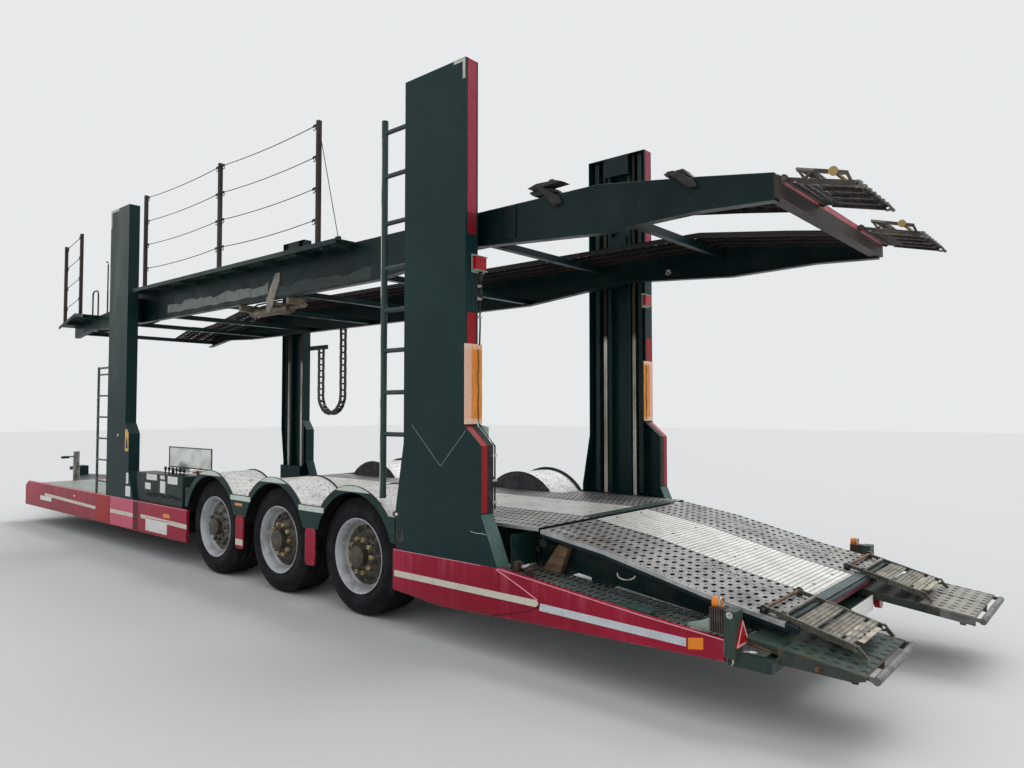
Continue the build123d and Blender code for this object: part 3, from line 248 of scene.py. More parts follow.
def link_piece(name, mesh, material, body):
    """Puts a mesh in the scene as a piece that rides on a body."""
    made = bpy.data.objects.new(name, mesh)
    bpy.context.scene.collection.objects.link(made)
    if material:
        mesh.materials.clear()
        mesh.materials.append(material)
    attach(made, body)
    return made


def shell(name, build, material, body, rounding=0.0, smooth=False):
    """Makes a piece from what a function builds in an empty bmesh, its edges rounded a little."""
    form = bmesh.new()
    build(form)
    bmesh.ops.recalc_face_normals(form, faces=form.faces)
    if rounding:
        sharp = [edge for edge in form.edges if edge.calc_face_angle(0.0) > 0.5]
        bmesh.ops.bevel(form, geom=sharp, offset=rounding, segments=1, profile=0.5, affect="EDGES")
    mesh = bpy.data.meshes.new(name)
    form.to_mesh(mesh)
    form.free()
    for face in mesh.polygons:
        face.use_smooth = smooth
    return link_piece(name, mesh, material, body)


def turned(form, profile, centre, axis, steps):
    """Turns a closed profile of (distance along the axis, radius) pairs about an axis through centre.

    Where a profile meets the axis, it stops at the small radius core.
    """
    axis = Vector(axis)
    across = Vector((0, 0, 1)) if abs(axis.z) < 0.9 else Vector((1, 0, 0))
    across = (across - axis * across.dot(axis)).normalized()
    third = axis.cross(across)
    rings = []
    for step in range(steps):
        turn = 2 * math.pi * step / steps
        away = across * math.cos(turn) + third * math.sin(turn)
        rings.append([form.verts.new(Vector(centre) + axis * place + away * radius)
                      for place, radius in profile])
    for step in range(steps):
        here, there = rings[step], rings[(step + 1) % steps]
        for k in range(len(profile)):
            n = (k + 1) % len(profile)
            form.faces.new((here[k], here[n], there[n], there[k]))


core = 0.0005


def swept(form, points, radius, steps=8):
    """A round bar that follows points, closed at both ends."""
    points = [Vector(point) for point in points]
    rings = []
    for k, point in enumerate(points):
        way = (points[min(k + 1, len(points) - 1)] - points[max(k - 1, 0)]).normalized()
        side = Vector((0, 0, 1)) if abs(way.z) < 0.9 else Vector((1, 0, 0))
        side = (side - way * side.dot(way)).normalized()
        third = way.cross(side)
        ring = []
        for step in range(steps):
            turn = 2 * math.pi * step / steps
            ring.append(form.verts.new(point + (side * math.cos(turn) + third * math.sin(turn)) * radius))
        rings.append(ring)
    for here, there in zip(rings, rings[1:]):
        for k in range(steps):
            n = (k + 1) % steps
            form.faces.new((here[k], here[n], there[n], there[k]))
    form.faces.new(reversed(rings[0]))
    form.faces.new(rings[-1])


def prism(form, outline, low, high, axis=1):
    """A flat plate: its outline in the plane across an axis, from low to high along that axis."""
    ends = []
    for place in (low, high):
        ring = []
        for first, second in outline:
            point = {0: (place, first, second), 1: (first, place, second), 2: (first, second, place)}[axis]
            ring.append(form.verts.new(point))
        ends.append(ring)
    form.faces.new(ends[0])
    form.faces.new(reversed(ends[1]))
    for k in range(len(outline)):
        n = (k + 1) % len(outline)
        form.faces.new((ends[0][k], ends[0][n], ends[1][n], ends[1][k]))


def bar(form, low, high):
    """A box between two corners."""
    prism(form, [(low[0], low[2]), (high[0], low[2]), (high[0], high[2]), (low[0], high[2])], low[1],
          high[1])


def arc(centre, radius, start, end, steps):
    """Points along an arc, with its angles in degrees."""
    points = []
    for step in range(steps + 1):
        turn = math.radians(start + (end - start) * step / steps)
        points.append((centre[0] + radius * math.cos(turn), centre[1] + radius * math.sin(turn)))
    return points

# Parking jack: a screw jack bolted to the drawbar, in grey zinc, with a rubber grip on its crank.
jack_zinc = finish("jack_zinc", 0.45, 0.5)
paint(tint(patches(14.0, 0.4, 0.65), (150, 150, 146), (86, 82, 74)))
relief(cloud(90.0), 0.2, 0.001)
dress(jack_zinc, "parking_jack")
black_rubber = finish("black_rubber", 0.75)
paint(tint(patches(18.0, 0.4, 0.7), (20, 20, 21), (58, 56, 52)))
relief(cloud(120.0), 0.2, 0.001)
jack_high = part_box("parking_jack")[1]
grip_length = 0.105
grip_profile = [(0.0, 0.0165), (0.004, 0.020), (grip_length, 0.020), (grip_length + 0.004, 0.0165)]
shell("jack_grip", lambda form: turned(form, grip_profile, (5.360, jack_high[1] - 0.115, 0.900), (0, 1, 0),
                                       20), black_rubber, "root", smooth=True)

# Running gear: three tube axles on trailing arms and air bags. Steel in dark green, rubber bellows, and
# painted air tanks held to the cross members by two bands each.
dress(green_paint, "axles", "suspension_arms", "air_tanks")
dress(black_rubber, "air_bags")
tank_low, tank_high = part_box("air_tanks")
tank_radius = 0.120
tank_z = tank_low[2] + tank_radius
tank_xs = (tank_low[0] + tank_radius, tank_high[0] - tank_radius)
tank_y = 0.730
band_profile = [(-0.015, tank_radius - 0.002), (-0.015, tank_radius + 0.003), (0.015, tank_radius + 0.003),
                (0.015, tank_radius - 0.002)]


def tank_bands(form):
    for x in tank_xs:
        for y in (tank_y - 0.13, tank_y + 0.13, -tank_y - 0.13, -tank_y + 0.13):
            turned(form, band_profile, (x, y, tank_z), (0, 1, 0), 40)


shell("tank_bands", tank_bands, jack_zinc, "root", smooth=True)

# Tyres: wide single truck tyres for 22.5 inch rims, dusty black rubber with four grooves and worn shoulders.
# They are vulcanised in one piece and sit on the rims' beads.
tyre_rubber = finish("tyre_rubber", 0.75, 0.0, 0.2)
grey = patches(6.0, 0.42, 0.72, detail=8.0)
tyre_tone = tint(grey, (12, 12, 16), (36, 36, 40))
scuffs = patches(30.0, 0.62, 0.72, 0.0, 0.5, detail=4.0)
paint(tint(scuffs, tyre_tone, (60, 58, 58)))
relief(cloud(120.0), 0.25, 0.001)
tyre_low, tyre_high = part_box("tyre_middle_left")
axle_z = (tyre_low[2] + tyre_high[2]) / 2
tyre_radius = (tyre_high[2] - tyre_low[2]) / 2
tyre_outer = tyre_high[1]
tyre_inner = tyre_low[1]
bead = 0.292
wheel_places = {}
for place in ("rear", "middle", "front"):
    for hand, side in (("left", 1), ("right", -1)):
        low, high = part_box("tyre_%s_%s" % (place, hand))
        wheel_places[place, hand] = ((low[0] + high[0]) / 2, side)
groove_depth = 0.012
groove_half = 0.006
half = (tyre_outer - tyre_inner) / 2
sidewall = [
    (half - 0.018, bead + 0.002), (half - 0.010, bead + 0.014), (half - 0.004, bead + 0.03),
    (half - 0.003, bead + 0.05), (half - 0.001, bead + 0.053), (half, bead + 0.075),
    (half - 0.001, bead + 0.098), (half - 0.004, bead + 0.101), (half - 0.008, bead + 0.125),
    (half - 0.012, bead + 0.128), (half - 0.020, tyre_radius - 0.022), (half - 0.030, tyre_radius - 0.009),
    (half - 0.044, tyre_radius - 0.002),
]
tread = []
for centre_along in (0.105, 0.037, -0.037, -0.105):
    for place, depth in ((groove_half + 0.001, 0), (groove_half, groove_depth), (-groove_half, groove_depth),
                         (-groove_half - 0.001, 0)):
        tread.append((centre_along + place, tyre_radius - 0.0005 - depth))
tyre_profile = sidewall + tread + [(-place, radius) for place, radius in reversed(sidewall)]


def wheel_part(name, profile, steps, wheel, material, out=0.0, smooth=True):
    """A piece of one wheel, turned about its axle from a profile, placed out from the middle plane."""
    x, side = wheel_places[wheel]
    label = "_%s_%s" % wheel

    def build(form):
        turned(form, profile, (x, side * out, axle_z), (0, side, 0), steps)
    return shell(name + label, build, material, "wheel" + label, smooth=smooth)


for wheel in wheel_places:
    tyre = wheel_part("detailed_tyre", tyre_profile, 96, wheel, tyre_rubber,
                      (tyre_outer + tyre_inner) / 2)
    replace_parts(tyre, "tyre_%s_%s" % wheel)

# Rims: deep pressed steel rims in dusty silver paint with a bright flange, bolted to brown, rusty hubs.
# Each hub has ten cap nuts round a dark pressed cap.
rim_paint = finish("rim_paint", 0.40, 0.25)
dirt = patches(7.0, 0.48, 0.72, 0.0, 0.7, detail=8.0)
silver = tint(dirt, (180, 182, 184), (84, 80, 76))
specks = patches(60.0, 0.66, 0.72, 0.0, 0.6, detail=2.0)
paint(tint(specks, silver, (84, 76, 66)))
relief(cloud(140.0), 0.15, 0.001)
flange_face = tyre_outer - 0.002
rim_profile = [
    (flange_face - 0.001, bead + 0.010), (flange_face, bead + 0.006), (flange_face - 0.004, bead - 0.001),
    (flange_face - 0.014, bead - 0.007), (flange_face - 0.030, bead - 0.020),
    (flange_face - 0.062, bead - 0.032), (flange_face - 0.086, bead - 0.040),
    (flange_face - 0.092, bead - 0.052), (flange_face - 0.104, bead - 0.052),
    (flange_face - 0.112, bead - 0.036), (tyre_inner + 0.040, bead - 0.024),
    (tyre_inner + 0.020, bead - 0.012), (tyre_inner + 0.020, bead - 0.001),
    (flange_face - 0.011, bead - 0.001), (flange_face - 0.011, bead + 0.010),
]
for wheel in wheel_places:
    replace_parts(wheel_part("pressed_rim", rim_profile, 72, wheel, rim_paint), "rim_%s_%s" % wheel)


def rusty_metal(name, light, dark, scale, roughness=0.6, metallic=0.35):
    """Bare metal gone brown in patches."""
    material = finish(name, roughness, metallic)
    paint(tint(patches(scale, 0.40, 0.62, detail=8.0), light, dark))
    relief(cloud(scale * 3), 0.5, 0.002)
    return material


hub_finishes = {
    "rear": (rusty_metal("hub_rust", (34, 30, 27), (98, 90, 80), 22.0, 0.7),
             rusty_metal("nut_brass", (222, 200, 146), (160, 134, 84), 30.0, 0.35, 0.5)),
    "front": (rusty_metal("hub_grey", (52, 51, 49), (132, 128, 120), 22.0, 0.7),
              rusty_metal("nut_grey", (112, 108, 98), (64, 58, 52), 30.0, 0.5, 0.4)),
}
hub_finishes["middle"] = hub_finishes["rear"]
cap_brown = rusty_metal("hub_cap_brown", (62, 56, 52), (88, 80, 66), 14.0, 0.45, 0.3)


def grow(name, tree, sizes, body):
    """Runs a tree of Geometry Nodes with the given sizes and keeps its result as a plain piece."""
    made = bpy.data.objects.new(name, bpy.data.meshes.new(name))
    bpy.context.scene.collection.objects.link(made)
    modifier = made.modifiers.new("grow", "NODES")
    modifier.node_group = tree
    for socket in tree.interface.items_tree:
        if socket.in_out == "INPUT":
            modifier[socket.identifier] = sizes[socket.name]
    evaluated = made.evaluated_get(bpy.context.evaluated_depsgraph_get())
    mesh = bpy.data.meshes.new_from_object(evaluated)
    made.modifiers.remove(modifier)
    mesh.materials.clear()
    mesh.materials.append(sizes["Material"])
    mesh.polygons.foreach_set("material_index", [0] * len(mesh.polygons))
    made.data = mesh
    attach(made, body)
    return made


def new_tree(name, sizes):
    """An empty tree of Geometry Nodes with named inputs, and its input and output nodes."""
    tree = bpy.data.node_groups.new(name, "GeometryNodeTree")
    kinds = {float: "NodeSocketFloat", int: "NodeSocketInt", str: "NodeSocketMaterial",
             bool: "NodeSocketBool", tuple: "NodeSocketVector"}
    for socket, value in sizes.items():
        tree.interface.new_socket(name=socket, in_out="INPUT", socket_type=kinds[value])
    tree.interface.new_socket(name="Geometry", in_out="OUTPUT", socket_type="NodeSocketGeometry")
    given = tree.nodes.new("NodeGroupInput").outputs
    result = tree.nodes.new("NodeGroupOutput").inputs
    return tree, given, result


def close_tree(tree, given, result, geometry):
    """Ends a tree: instances made real, then the material set."""
    real = add(tree, "GeometryNodeRealizeInstances", {"Geometry": geometry})
    made = add(tree, "GeometryNodeSetMaterial", {"Geometry": real.outputs[0], "Material": given["Material"]})
    tree.links.new(made.outputs[0], result[0])


nut_ring, given, result = new_tree("Ring of nuts", {
    "Count": int, "Ring radius": float, "Nut radius": float, "Nut height": float, "Collar radius": float,
    "Collar section": float, "Place": tuple, "Material": str})
ring = add(nut_ring, "GeometryNodeMeshCircle", {"Vertices": given["Count"], "Radius": given["Ring radius"]})
hexagon = add(nut_ring, "GeometryNodeMeshCylinder",
              {"Vertices": 6, "Radius": given["Nut radius"], "Depth": given["Nut height"]})
nut = add(nut_ring, "GeometryNodeJoinGeometry", {"Geometry": hexagon.outputs["Mesh"]})
collar_line = add(nut_ring, "GeometryNodeCurvePrimitiveCircle",
                  {"Resolution": 12, "Radius": given["Collar radius"]})
collar_form = add(nut_ring, "GeometryNodeCurvePrimitiveCircle",
                  {"Resolution": 6, "Radius": given["Collar section"]})
collar = add(nut_ring, "GeometryNodeCurveToMesh",
             {"Curve": collar_line.outputs[0], "Profile Curve": collar_form.outputs[0]})
for way in (0.5, -0.5):
    reach = add(nut_ring, "ShaderNodeMath", {0: given["Nut height"], 1: way}, operation="MULTIPLY")
    spot = add(nut_ring, "ShaderNodeCombineXYZ", {"Z": reach.outputs[0]})
    moved = add(nut_ring, "GeometryNodeTransform",
                {"Geometry": collar.outputs[0], "Translation": spot.outputs[0]})
    nut_ring.links.new(moved.outputs[0], nut.inputs[0])
ringed = add(nut_ring, "GeometryNodeInstanceOnPoints",
             {"Points": ring.outputs[0], "Instance": nut.outputs[0]})
stood = add(nut_ring, "GeometryNodeTransform",
            {"Geometry": ringed.outputs[0], "Rotation": (math.pi / 2, 0, 0), "Translation": given["Place"]})
close_tree(nut_ring, given, result, stood.outputs[0])

nut_count = 10
nut_circle = 0.136
nut_seat = flange_face - 0.040
nut_height = 0.026
hub_profile = [
    (flange_face - 0.098, bead - 0.046), (flange_face - 0.090, bead - 0.053), (flange_face - 0.086, 0.205),
    (flange_face - 0.064, 0.180), (flange_face - 0.046, 0.166), (nut_seat, 0.158), (nut_seat, 0.106),
    (nut_seat + 0.004, 0.094), (nut_seat + 0.004, core), (tyre_inner + 0.150, core),
    (tyre_inner + 0.150, 0.140), (flange_face - 0.104, 0.150), (flange_face - 0.104, bead - 0.046),
]
cap_profile = [
    (nut_seat, 0.086), (flange_face + 0.014, 0.086), (flange_face + 0.020, 0.082),
    (flange_face + 0.021, 0.062), (flange_face + 0.027, 0.056), (flange_face + 0.028, core),
    (nut_seat, core),
]


def stud_ends(form, x, side):
    """The dark stud ends, recessed in the nuts' collars."""
    for step in range(nut_count):
        turn = 2 * math.pi * step / nut_count
        centre = (x + nut_circle * math.cos(turn), side * (nut_seat + nut_height),
                  axle_z + nut_circle * math.sin(turn))
        turned(form, [(-0.004, core), (-0.004, 0.010), (0.0015, 0.010), (0.0015, core)], centre,
               (0, side, 0), 10)


nut_sizes = {"Count": nut_count, "Ring radius": nut_circle, "Nut radius": 0.0185, "Nut height": nut_height,
             "Collar radius": 0.0125, "Collar section": 0.0038}
for wheel, (x, side) in wheel_places.items():
    label = "_%s_%s" % wheel
    hub_metal, nut_metal = hub_finishes[wheel[0]]
    seat = (x, side * (nut_seat + nut_height / 2), axle_z)
    grow("hub_nuts" + label, nut_ring, {**nut_sizes, "Place": seat, "Material": nut_metal}, "wheel" + label)
    shell("hub_studs" + label, lambda form: stud_ends(form, x, side), black_rubber, "wheel" + label)
    wheel_part("hub_flange", hub_profile, 60, wheel, hub_metal)
    wheel_part("hub_cap", cap_profile, 48, wheel, cap_brown, smooth=False)

# Wheel guards: rolled zinc-coated sheet over each wheel, speckled white on top, with a dark bolted wall
# towards the deck and a dark rubber bead along that wall's edge.
def zinc_colours(light, dark, spangle, stain, sand):
    """Zinc coating: crystals of slightly different grey under clouds of dirt."""
    crystals = add(tree, "ShaderNodeTexVoronoi", {"Vector": coords, "Scale": spangle})
    grains = add(tree, "ShaderNodeSeparateColor", {0: crystals.outputs["Color"]}).outputs[0]
    base = tint(fade(grains, 0.0, 1.0, 0.0, 0.35), light, dark)
    base = tint(patches(4.0, 0.44, 0.66, 0.0, stain, detail=9.0, roughness=0.7), base, dark)
    return tint(patches(2.3, 0.55, 0.70, 0.0, stain * 0.6, detail=6.0), base, sand)


def zinc(name, light, dark, spangle=26.0, roughness=0.42, metallic=0.45, stain=0.6, sand=(128, 112, 88),
         shaded_within=9.0):
    """Zinc-coated steel. Its upright faces, the walls of its holes among them, are painted near black as
    painted shade, as far out from the middle as the last argument gives.
    """
    material = finish(name, roughness, metallic)
    base = zinc_colours(light, dark, spangle, stain, sand)
    # Painted shade: upright faces near the middle are painted near black so that the holes read dark.
    upright = fade(along(2, True, normal=True), 0.60, 0.40)
    painted_wall_shade = product(upright, fade(along(1, True), shaded_within, shaded_within - 0.001))
    paint(tint(painted_wall_shade, base, (26, 25, 25)))
    relief(cloud(45.0, detail=6.0), 0.15, 0.001)
    return material


guard_wall_y = 0.800
guard_zinc = finish("guard_zinc", 0.6, 0.15)
guard_top = zinc_colours((236, 234, 230), (150, 148, 142), 60.0, 0.45, (168, 158, 140))
flecks = patches(38.0, 0.54, 0.64, 0.0, 0.85, detail=5.0, roughness=0.75)
guard_top = tint(flecks, guard_top, (84, 82, 80))
wall_mark = fade(along(1, True), guard_wall_y + 0.003, guard_wall_y + 0.001)
wall_tone = tint(patches(12.0, 0.4, 0.7), (50, 48, 56), (82, 78, 82))
paint(tint(wall_mark, guard_top, wall_tone))
relief(cloud(45.0, detail=6.0), 0.2, 0.001)
dress(guard_zinc, "wheel_arches")

arc_bolts, given, result = new_tree("Bolts on an arc", {
    "Count": int, "Arc radius": float, "Start": float, "Sweep": float, "Bolt radius": float,
    "Bolt height": float, "Place": tuple, "Material": str})
path = add(arc_bolts, "GeometryNodeCurveArc",
           {"Resolution": given["Count"], "Radius": given["Arc radius"], "Start Angle": given["Start"],
            "Sweep Angle": given["Sweep"]})
head = add(arc_bolts, "GeometryNodeMeshCylinder",
           {"Vertices": 6, "Radius": given["Bolt radius"], "Depth": given["Bolt height"]})
heads = add(arc_bolts, "GeometryNodeInstanceOnPoints",
            {"Points": path.outputs[0], "Instance": head.outputs[0]})
stood = add(arc_bolts, "GeometryNodeTransform",
            {"Geometry": heads.outputs[0], "Rotation": (math.pi / 2, 0, 0), "Translation": given["Place"]})
close_tree(arc_bolts, given, result, stood.outputs[0])

arch_z = axle_z + 0.015
arch_radius = 0.528
deck_z = 0.850
deck_angle = math.degrees(math.asin((deck_z - arch_z) / arch_radius))
guard_bolt = rusty_metal("guard_bolt", (110, 104, 100), (64, 58, 56), 30.0, 0.5, 0.4)
for (place, hand), (x, side) in wheel_places.items():
    centre = (x, side * (guard_wall_y - 0.022), arch_z)
    grow("guard_bolts_%s_%s" % (place, hand), arc_bolts,
         {"Count": 17, "Arc radius": arch_radius - 0.030, "Start": math.radians(deck_angle + 4),
          "Sweep": math.radians(172 - 2 * deck_angle), "Bolt radius": 0.011, "Bolt height": 0.012,
          "Place": centre, "Material": guard_bolt}, "root")
    bead_line = arc((x, arch_z), arch_radius + 0.004, deck_angle, 180 - deck_angle, 28)
    shell("guard_bead_%s_%s" % (place, hand),
          lambda form: swept(form, [(px, side * (guard_wall_y - 0.006), pz) for px, pz in bead_line], 0.007),
          black_rubber, "root", smooth=True)

# Side panels: green sheet with a cut-out round each wheel, edged with black rubber trim. Pale reflective
# tape is stuck over each arch and between the wheels, by a small amber lamp in a dark frame.
panel_green = worn_paint("panel_green", (14, 42, 40), (26, 58, 52), (120, 118, 106), dust=0.3)
dress(panel_green, "side_panels")


def film(name, colour, dirt_colour, roughness=0.5, dirt=0.4, grid=0.0):
    """Adhesive film: an even colour under dust, and where asked a fine woven-looking grid pressed in it."""
    material = finish(name, roughness, 0.0, 0.25)
    base = tint(patches(11.0, 0.48, 0.75, 0.0, dirt, detail=8.0), colour, dirt_colour)
    fine = cloud(90.0, detail=2.0)
    base = tint(fade(fine, 0.35, 0.7, 0.0, 0.12), base, dirt_colour)
    if grid:
        cells = add(tree, "ShaderNodeTexVoronoi", {"Vector": coords, "Scale": grid},
                    feature="DISTANCE_TO_EDGE")
        base = tint(fade(cells.outputs["Distance"], 0.03, 0.10, 0.3, 0.0), base, dirt_colour)
    paint(base)
    relief(fine, 0.08, 0.0004)
    return material


cream_tape = film("cream_tape", (214, 208, 190), (150, 142, 124))
white_tape = film("white_tape", (206, 212, 216), (140, 142, 146), grid=70.0)
side_face = cad_box[1][1]
tape_thickness = 0.0009
left_only = (1,)


def lens(name, deep, bright, grid):
    """Moulded plastic lens with small prisms."""
    material = finish(name, 0.18)
    cells = add(tree, "ShaderNodeTexVoronoi", {"Vector": coords, "Scale": grid})
    grains = add(tree, "ShaderNodeSeparateColor", {0: cells.outputs["Color"]}).outputs[0]
    paint(tint(fade(grains, 0.0, 1.0, 0.3, 0.7), deep, bright))
    relief(cells.outputs["Distance"], 0.4, 0.001)
    return material


amber_lens = lens("amber_lens", (222, 118, 12), (244, 140, 24), 420.0)
red_lens = lens("red_lens", (150, 12, 22), (190, 24, 34), 420.0)


def stickers(name, outlines, material, sides=(1, -1), face=side_face, thickness=tape_thickness):
    """Flat films on the outer faces, given as outlines (x, z), on the left, the right or both."""
    def build(form):
        for side in sides:
            for outline in outlines:
                prism(form, outline, side * (face - 0.0002), side * (face + thickness))
    return shell(name, build, material, "root")


def band(x_from, x_to, z_from, z_to):
    """A rectangle (x, z)."""
    return [(x_from, z_from), (x_to, z_from), (x_to, z_to), (x_from, z_to)]


gap_tapes = [band(-1.346, -0.982, 0.784, 0.829), band(-2.506, -2.142, 0.784, 0.829)]
crest_tape = film("crest_tape", (206, 214, 202), (146, 156, 140))
stickers("tapes_between_wheels", gap_tapes, crest_tape)
lip_radius = 0.553
crest_chord = 0.503
crest_radius = lip_radius - 0.003
crest_angle = math.degrees(math.asin(crest_chord / crest_radius))
crest_tapes = [arc((x, arch_z), crest_radius, crest_angle, 180 - crest_angle, 14)
               for x, side in wheel_places.values() if side > 0]
stickers("tapes_on_arches", crest_tapes, crest_tape)


def arch_trims(form):
    for x, side in wheel_places.values():
        line = arc((x, arch_z), lip_radius - 0.001, 42, 138, 24)
        swept(form, [(px, side * (side_face - 0.0022), pz) for px, pz in line], 0.0035, 6)


shell("arch_trims", arch_trims, black_rubber, "root", smooth=True)
stickers("lamps_between_wheels", [band(-1.200, -1.070, 0.733, 0.758)], amber_lens,
         thickness=0.0015)
stickers("lamp_frames_between_wheels",
         [band(-1.212, -1.200, 0.728, 0.763), band(-1.070, -1.058, 0.728, 0.763)], black_rubber,
         thickness=0.0012)

# Wheel arch liners: black moulded sheet inside each guard, close over the tyre. They are fixed to the
# guard's edges.
liner_outer = 0.5192
liner_inner = 0.5170
liner_black = finish("liner_black", 0.85, 0.0, 0.1)
shader.inputs["Base Color"].default_value = shade(20, 20, 22)


def span(side, inner, outer):
    """The limits of Y between two distances from the middle, on one side."""
    return sorted((side * inner, side * outer))


def arch_liners(form):
    for x, side in wheel_places.values():
        outline = arc((x, arch_z), liner_outer, 8, 172, 40) + arc((x, arch_z), liner_inner, 172, 8, 40)
        prism(form, outline, *span(side, 0.815, side_face - 0.016))


shell("arch_liners", arch_liners, liner_black, "root", smooth=True)

# Skirts: folded steel side boards in crimson paint, faded pink in upright streaks, welded to the frame.
# The flaps between the wheels are the same sheet.
red_paint = finish("red_paint", 0.4, 0.0, 0.2)
red_clouds = patches(1.3, 0.40, 0.66)
skirt_red = tint(red_clouds, (138, 14, 38), (164, 28, 56))
pink = (196, 84, 110)
runs = patches(14.0, 0.50, 0.72, 0.0, 0.55, stretch=(1, 1, 0.05), detail=6.0)
upper_half = fade(along(2), 0.40, 0.58, 0.25, 1.0)
skirt_red = tint(product(runs, upper_half), skirt_red, pink)
low_dirt = product(fade(along(2), 0.34, 0.28, 0.0, 0.5), patches(9.0, 0.4, 0.7))
skirt_red = tint(low_dirt, skirt_red, (84, 50, 50))
red_chips = product(edges(0.005), patches(30.0, 0.46, 0.58, 0.0, 0.8))
paint(tint(red_chips, skirt_red, (206, 150, 156)))
relief(cloud(40.0, detail=4.0), 0.12, 0.001)
dress(red_paint, "skirts")

rear_tape = [(-3.412, 0.400), (-3.412, 0.445), (-4.782, 0.446), (-4.800, 0.432), (-4.782, 0.402)]
tail_tape = [(-4.806, 0.385), (-4.806, 0.431), (-5.814, 0.415), (-5.814, 0.370)]
stickers("rear_tapes", [rear_tape], cream_tape)
stickers("tail_tapes", [tail_tape], white_tape)
stickers("tail_marker_lamps", [[(-5.826, 0.360), (-5.826, 0.420), (-5.914, 0.436), (-5.914, 0.375)]],
         amber_lens, thickness=0.0016)
front_tapes = [
    band(1.24, 1.90, 0.402, 0.448),
    [(-0.09, 0.400), (-0.09, 0.448), (1.03, 0.460), (1.03, 0.415)],
    [(2.36, 0.398), (2.36, 0.436), (4.22, 0.470), (4.22, 0.430)],
]
stickers("front_tapes", front_tapes, cream_tape)


def stripe(points, width):
    """The outline of a line of even width through points (x, z)."""
    points = [Vector(point) for point in points]
    upper, lower = [], []
    for k, point in enumerate(points):
        way = (points[min(k + 1, len(points) - 1)] - points[max(k - 1, 0)]).normalized()
        away = Vector((-way.y, way.x)) * width / 2
        upper.append(tuple(point + away))
        lower.append(tuple(point - away))
    return upper + list(reversed(lower))


pale_pink = film("pale_pink", (226, 150, 162), (196, 96, 116), dirt=0.3)
deep_crimson = film("deep_crimson", (96, 8, 28), (76, 22, 32), dirt=0.3)
seam_line = [(-4.440, 0.590), (-4.640, 0.512), (-4.790, 0.447)]
corner_line = [(-4.790, 0.447), (-4.806, 0.432), (-4.803, 0.412), (-4.770, 0.392)]
under_line = [(-4.770, 0.392), (-4.709, 0.365), (-4.560, 0.322), (-4.394, 0.278)]
stickers("skirt_seam_upper", [stripe(seam_line, 0.008)], pale_pink, thickness=0.0014)
stickers("skirt_seam_lower", [stripe(corner_line, 0.014), stripe(under_line, 0.010)], deep_crimson,
         thickness=0.0013)
skirt_top_edges = [stripe([(-4.450, 0.596), (-5.535, 0.486), (-6.028, 0.448)], 0.006),
                   stripe([(-0.080, 0.597), (4.92, 0.597)], 0.006),
                   stripe([(-3.400, 0.597), (-4.30, 0.597)], 0.004)]
stickers("skirt_top_edges", skirt_top_edges, pale_pink, thickness=0.0012)

# Panels of the front skirts: an orange-red one, a pink faded one under the post, and seams between them.
orange_red = film("orange_red_panel", (168, 36, 34), (130, 34, 36), dirt=0.3)
faded_panel = film("faded_panel", (206, 96, 118), (186, 70, 94), dirt=0.5, grid=9.0)
stickers("front_skirt_orange", [band(1.935, 2.360, 0.270, 0.590)], orange_red, thickness=0.0005)
stickers("front_skirt_faded", [band(1.240, 1.910, 0.265, 0.592)], faded_panel, thickness=0.0005)
stickers("front_skirt_seams", [band(1.908, 1.936, 0.265, 0.592), band(1.222, 1.241, 0.265, 0.592)],
         deep_crimson, thickness=0.0007)
stickers("front_skirt_crimson", [band(1.10, 1.222, 0.268, 0.590)], deep_crimson,
         thickness=0.0004)
stickers("front_marker_lamps", [band(0.300, 0.460, 0.474, 0.516), band(3.05, 3.12, 0.500, 0.525)],
         amber_lens, thickness=0.0016)
stickers("front_marker_frames", [stripe([(0.285, 0.468), (0.475, 0.468)], 0.010),
                                 stripe([(0.285, 0.522), (0.475, 0.522)], 0.010)],
         orange_red, thickness=0.0014)
blank_white = film("blank_white", (226, 226, 222), (170, 166, 156), 0.4, 0.3)
stickers("skirt_plate", [band(0.362, 0.895, 0.292, 0.424)], blank_white, left_only,
         thickness=0.0016)
plate_edge = film("plate_edge", (196, 96, 108), (150, 60, 74), dirt=0.3)
stickers("skirt_plate_edge", [stripe([(0.362, 0.288), (0.895, 0.288)], 0.008),
                              stripe([(0.362, 0.428), (0.895, 0.428)], 0.008)], plate_edge,
         left_only, thickness=0.0016)
stickers("front_skirt_label", [band(3.95, 4.40, 0.365, 0.425)], blank_white, left_only,
         thickness=0.0012)
flap_foot = band(-1.218, -1.086, 0.362, 0.420)
stickers("flap_foot_tape", [flap_foot], cream_tape)


def skirt_handles(form):
    for side in (1, -1):
        y = side * (side_face - 0.0010)
        handle = [(4.28, y, 0.470), (4.34, y, 0.445), (4.60, y, 0.372), (4.86, y, 0.345), (4.93, y, 0.365)]
        swept(form, handle, 0.0024)


shell("skirt_handles", skirt_handles, black_rubber, "root", smooth=True)

# Perforated planks: pressed zinc-coated steel, punched with rows of long holes with a small drain hole
# between each four. One tree makes every plank from its own pitch and hole sizes.
perforated, given, result = new_tree("Perforated sheet", {"Columns": int, "Rows": int, "Pitch": tuple,
                                                          "Hole size": tuple, "Small size": tuple,
                                                          "Corner hole": bool, "Thickness": float,
                                                          "Material": str})
pitch = add(perforated, "ShaderNodeSeparateXYZ", {0: given["Pitch"]})
cell = add(perforated, "GeometryNodeCurvePrimitiveQuadrilateral",
           {"Width": pitch.outputs[0], "Height": pitch.outputs[1]})
drawn = add(perforated, "GeometryNodeJoinGeometry", {"Geometry": cell.outputs[0]})
ring = add(perforated, "GeometryNodeCurvePrimitiveCircle", {"Resolution": 8, "Radius": 0.5})
ring = add(perforated, "GeometryNodeTransform",
           {"Geometry": ring.outputs[0], "Rotation": (0, 0, math.pi / 8)})
quarter = add(perforated, "ShaderNodeVectorMath", {0: given["Pitch"], 3: 0.25}, operation="SCALE")
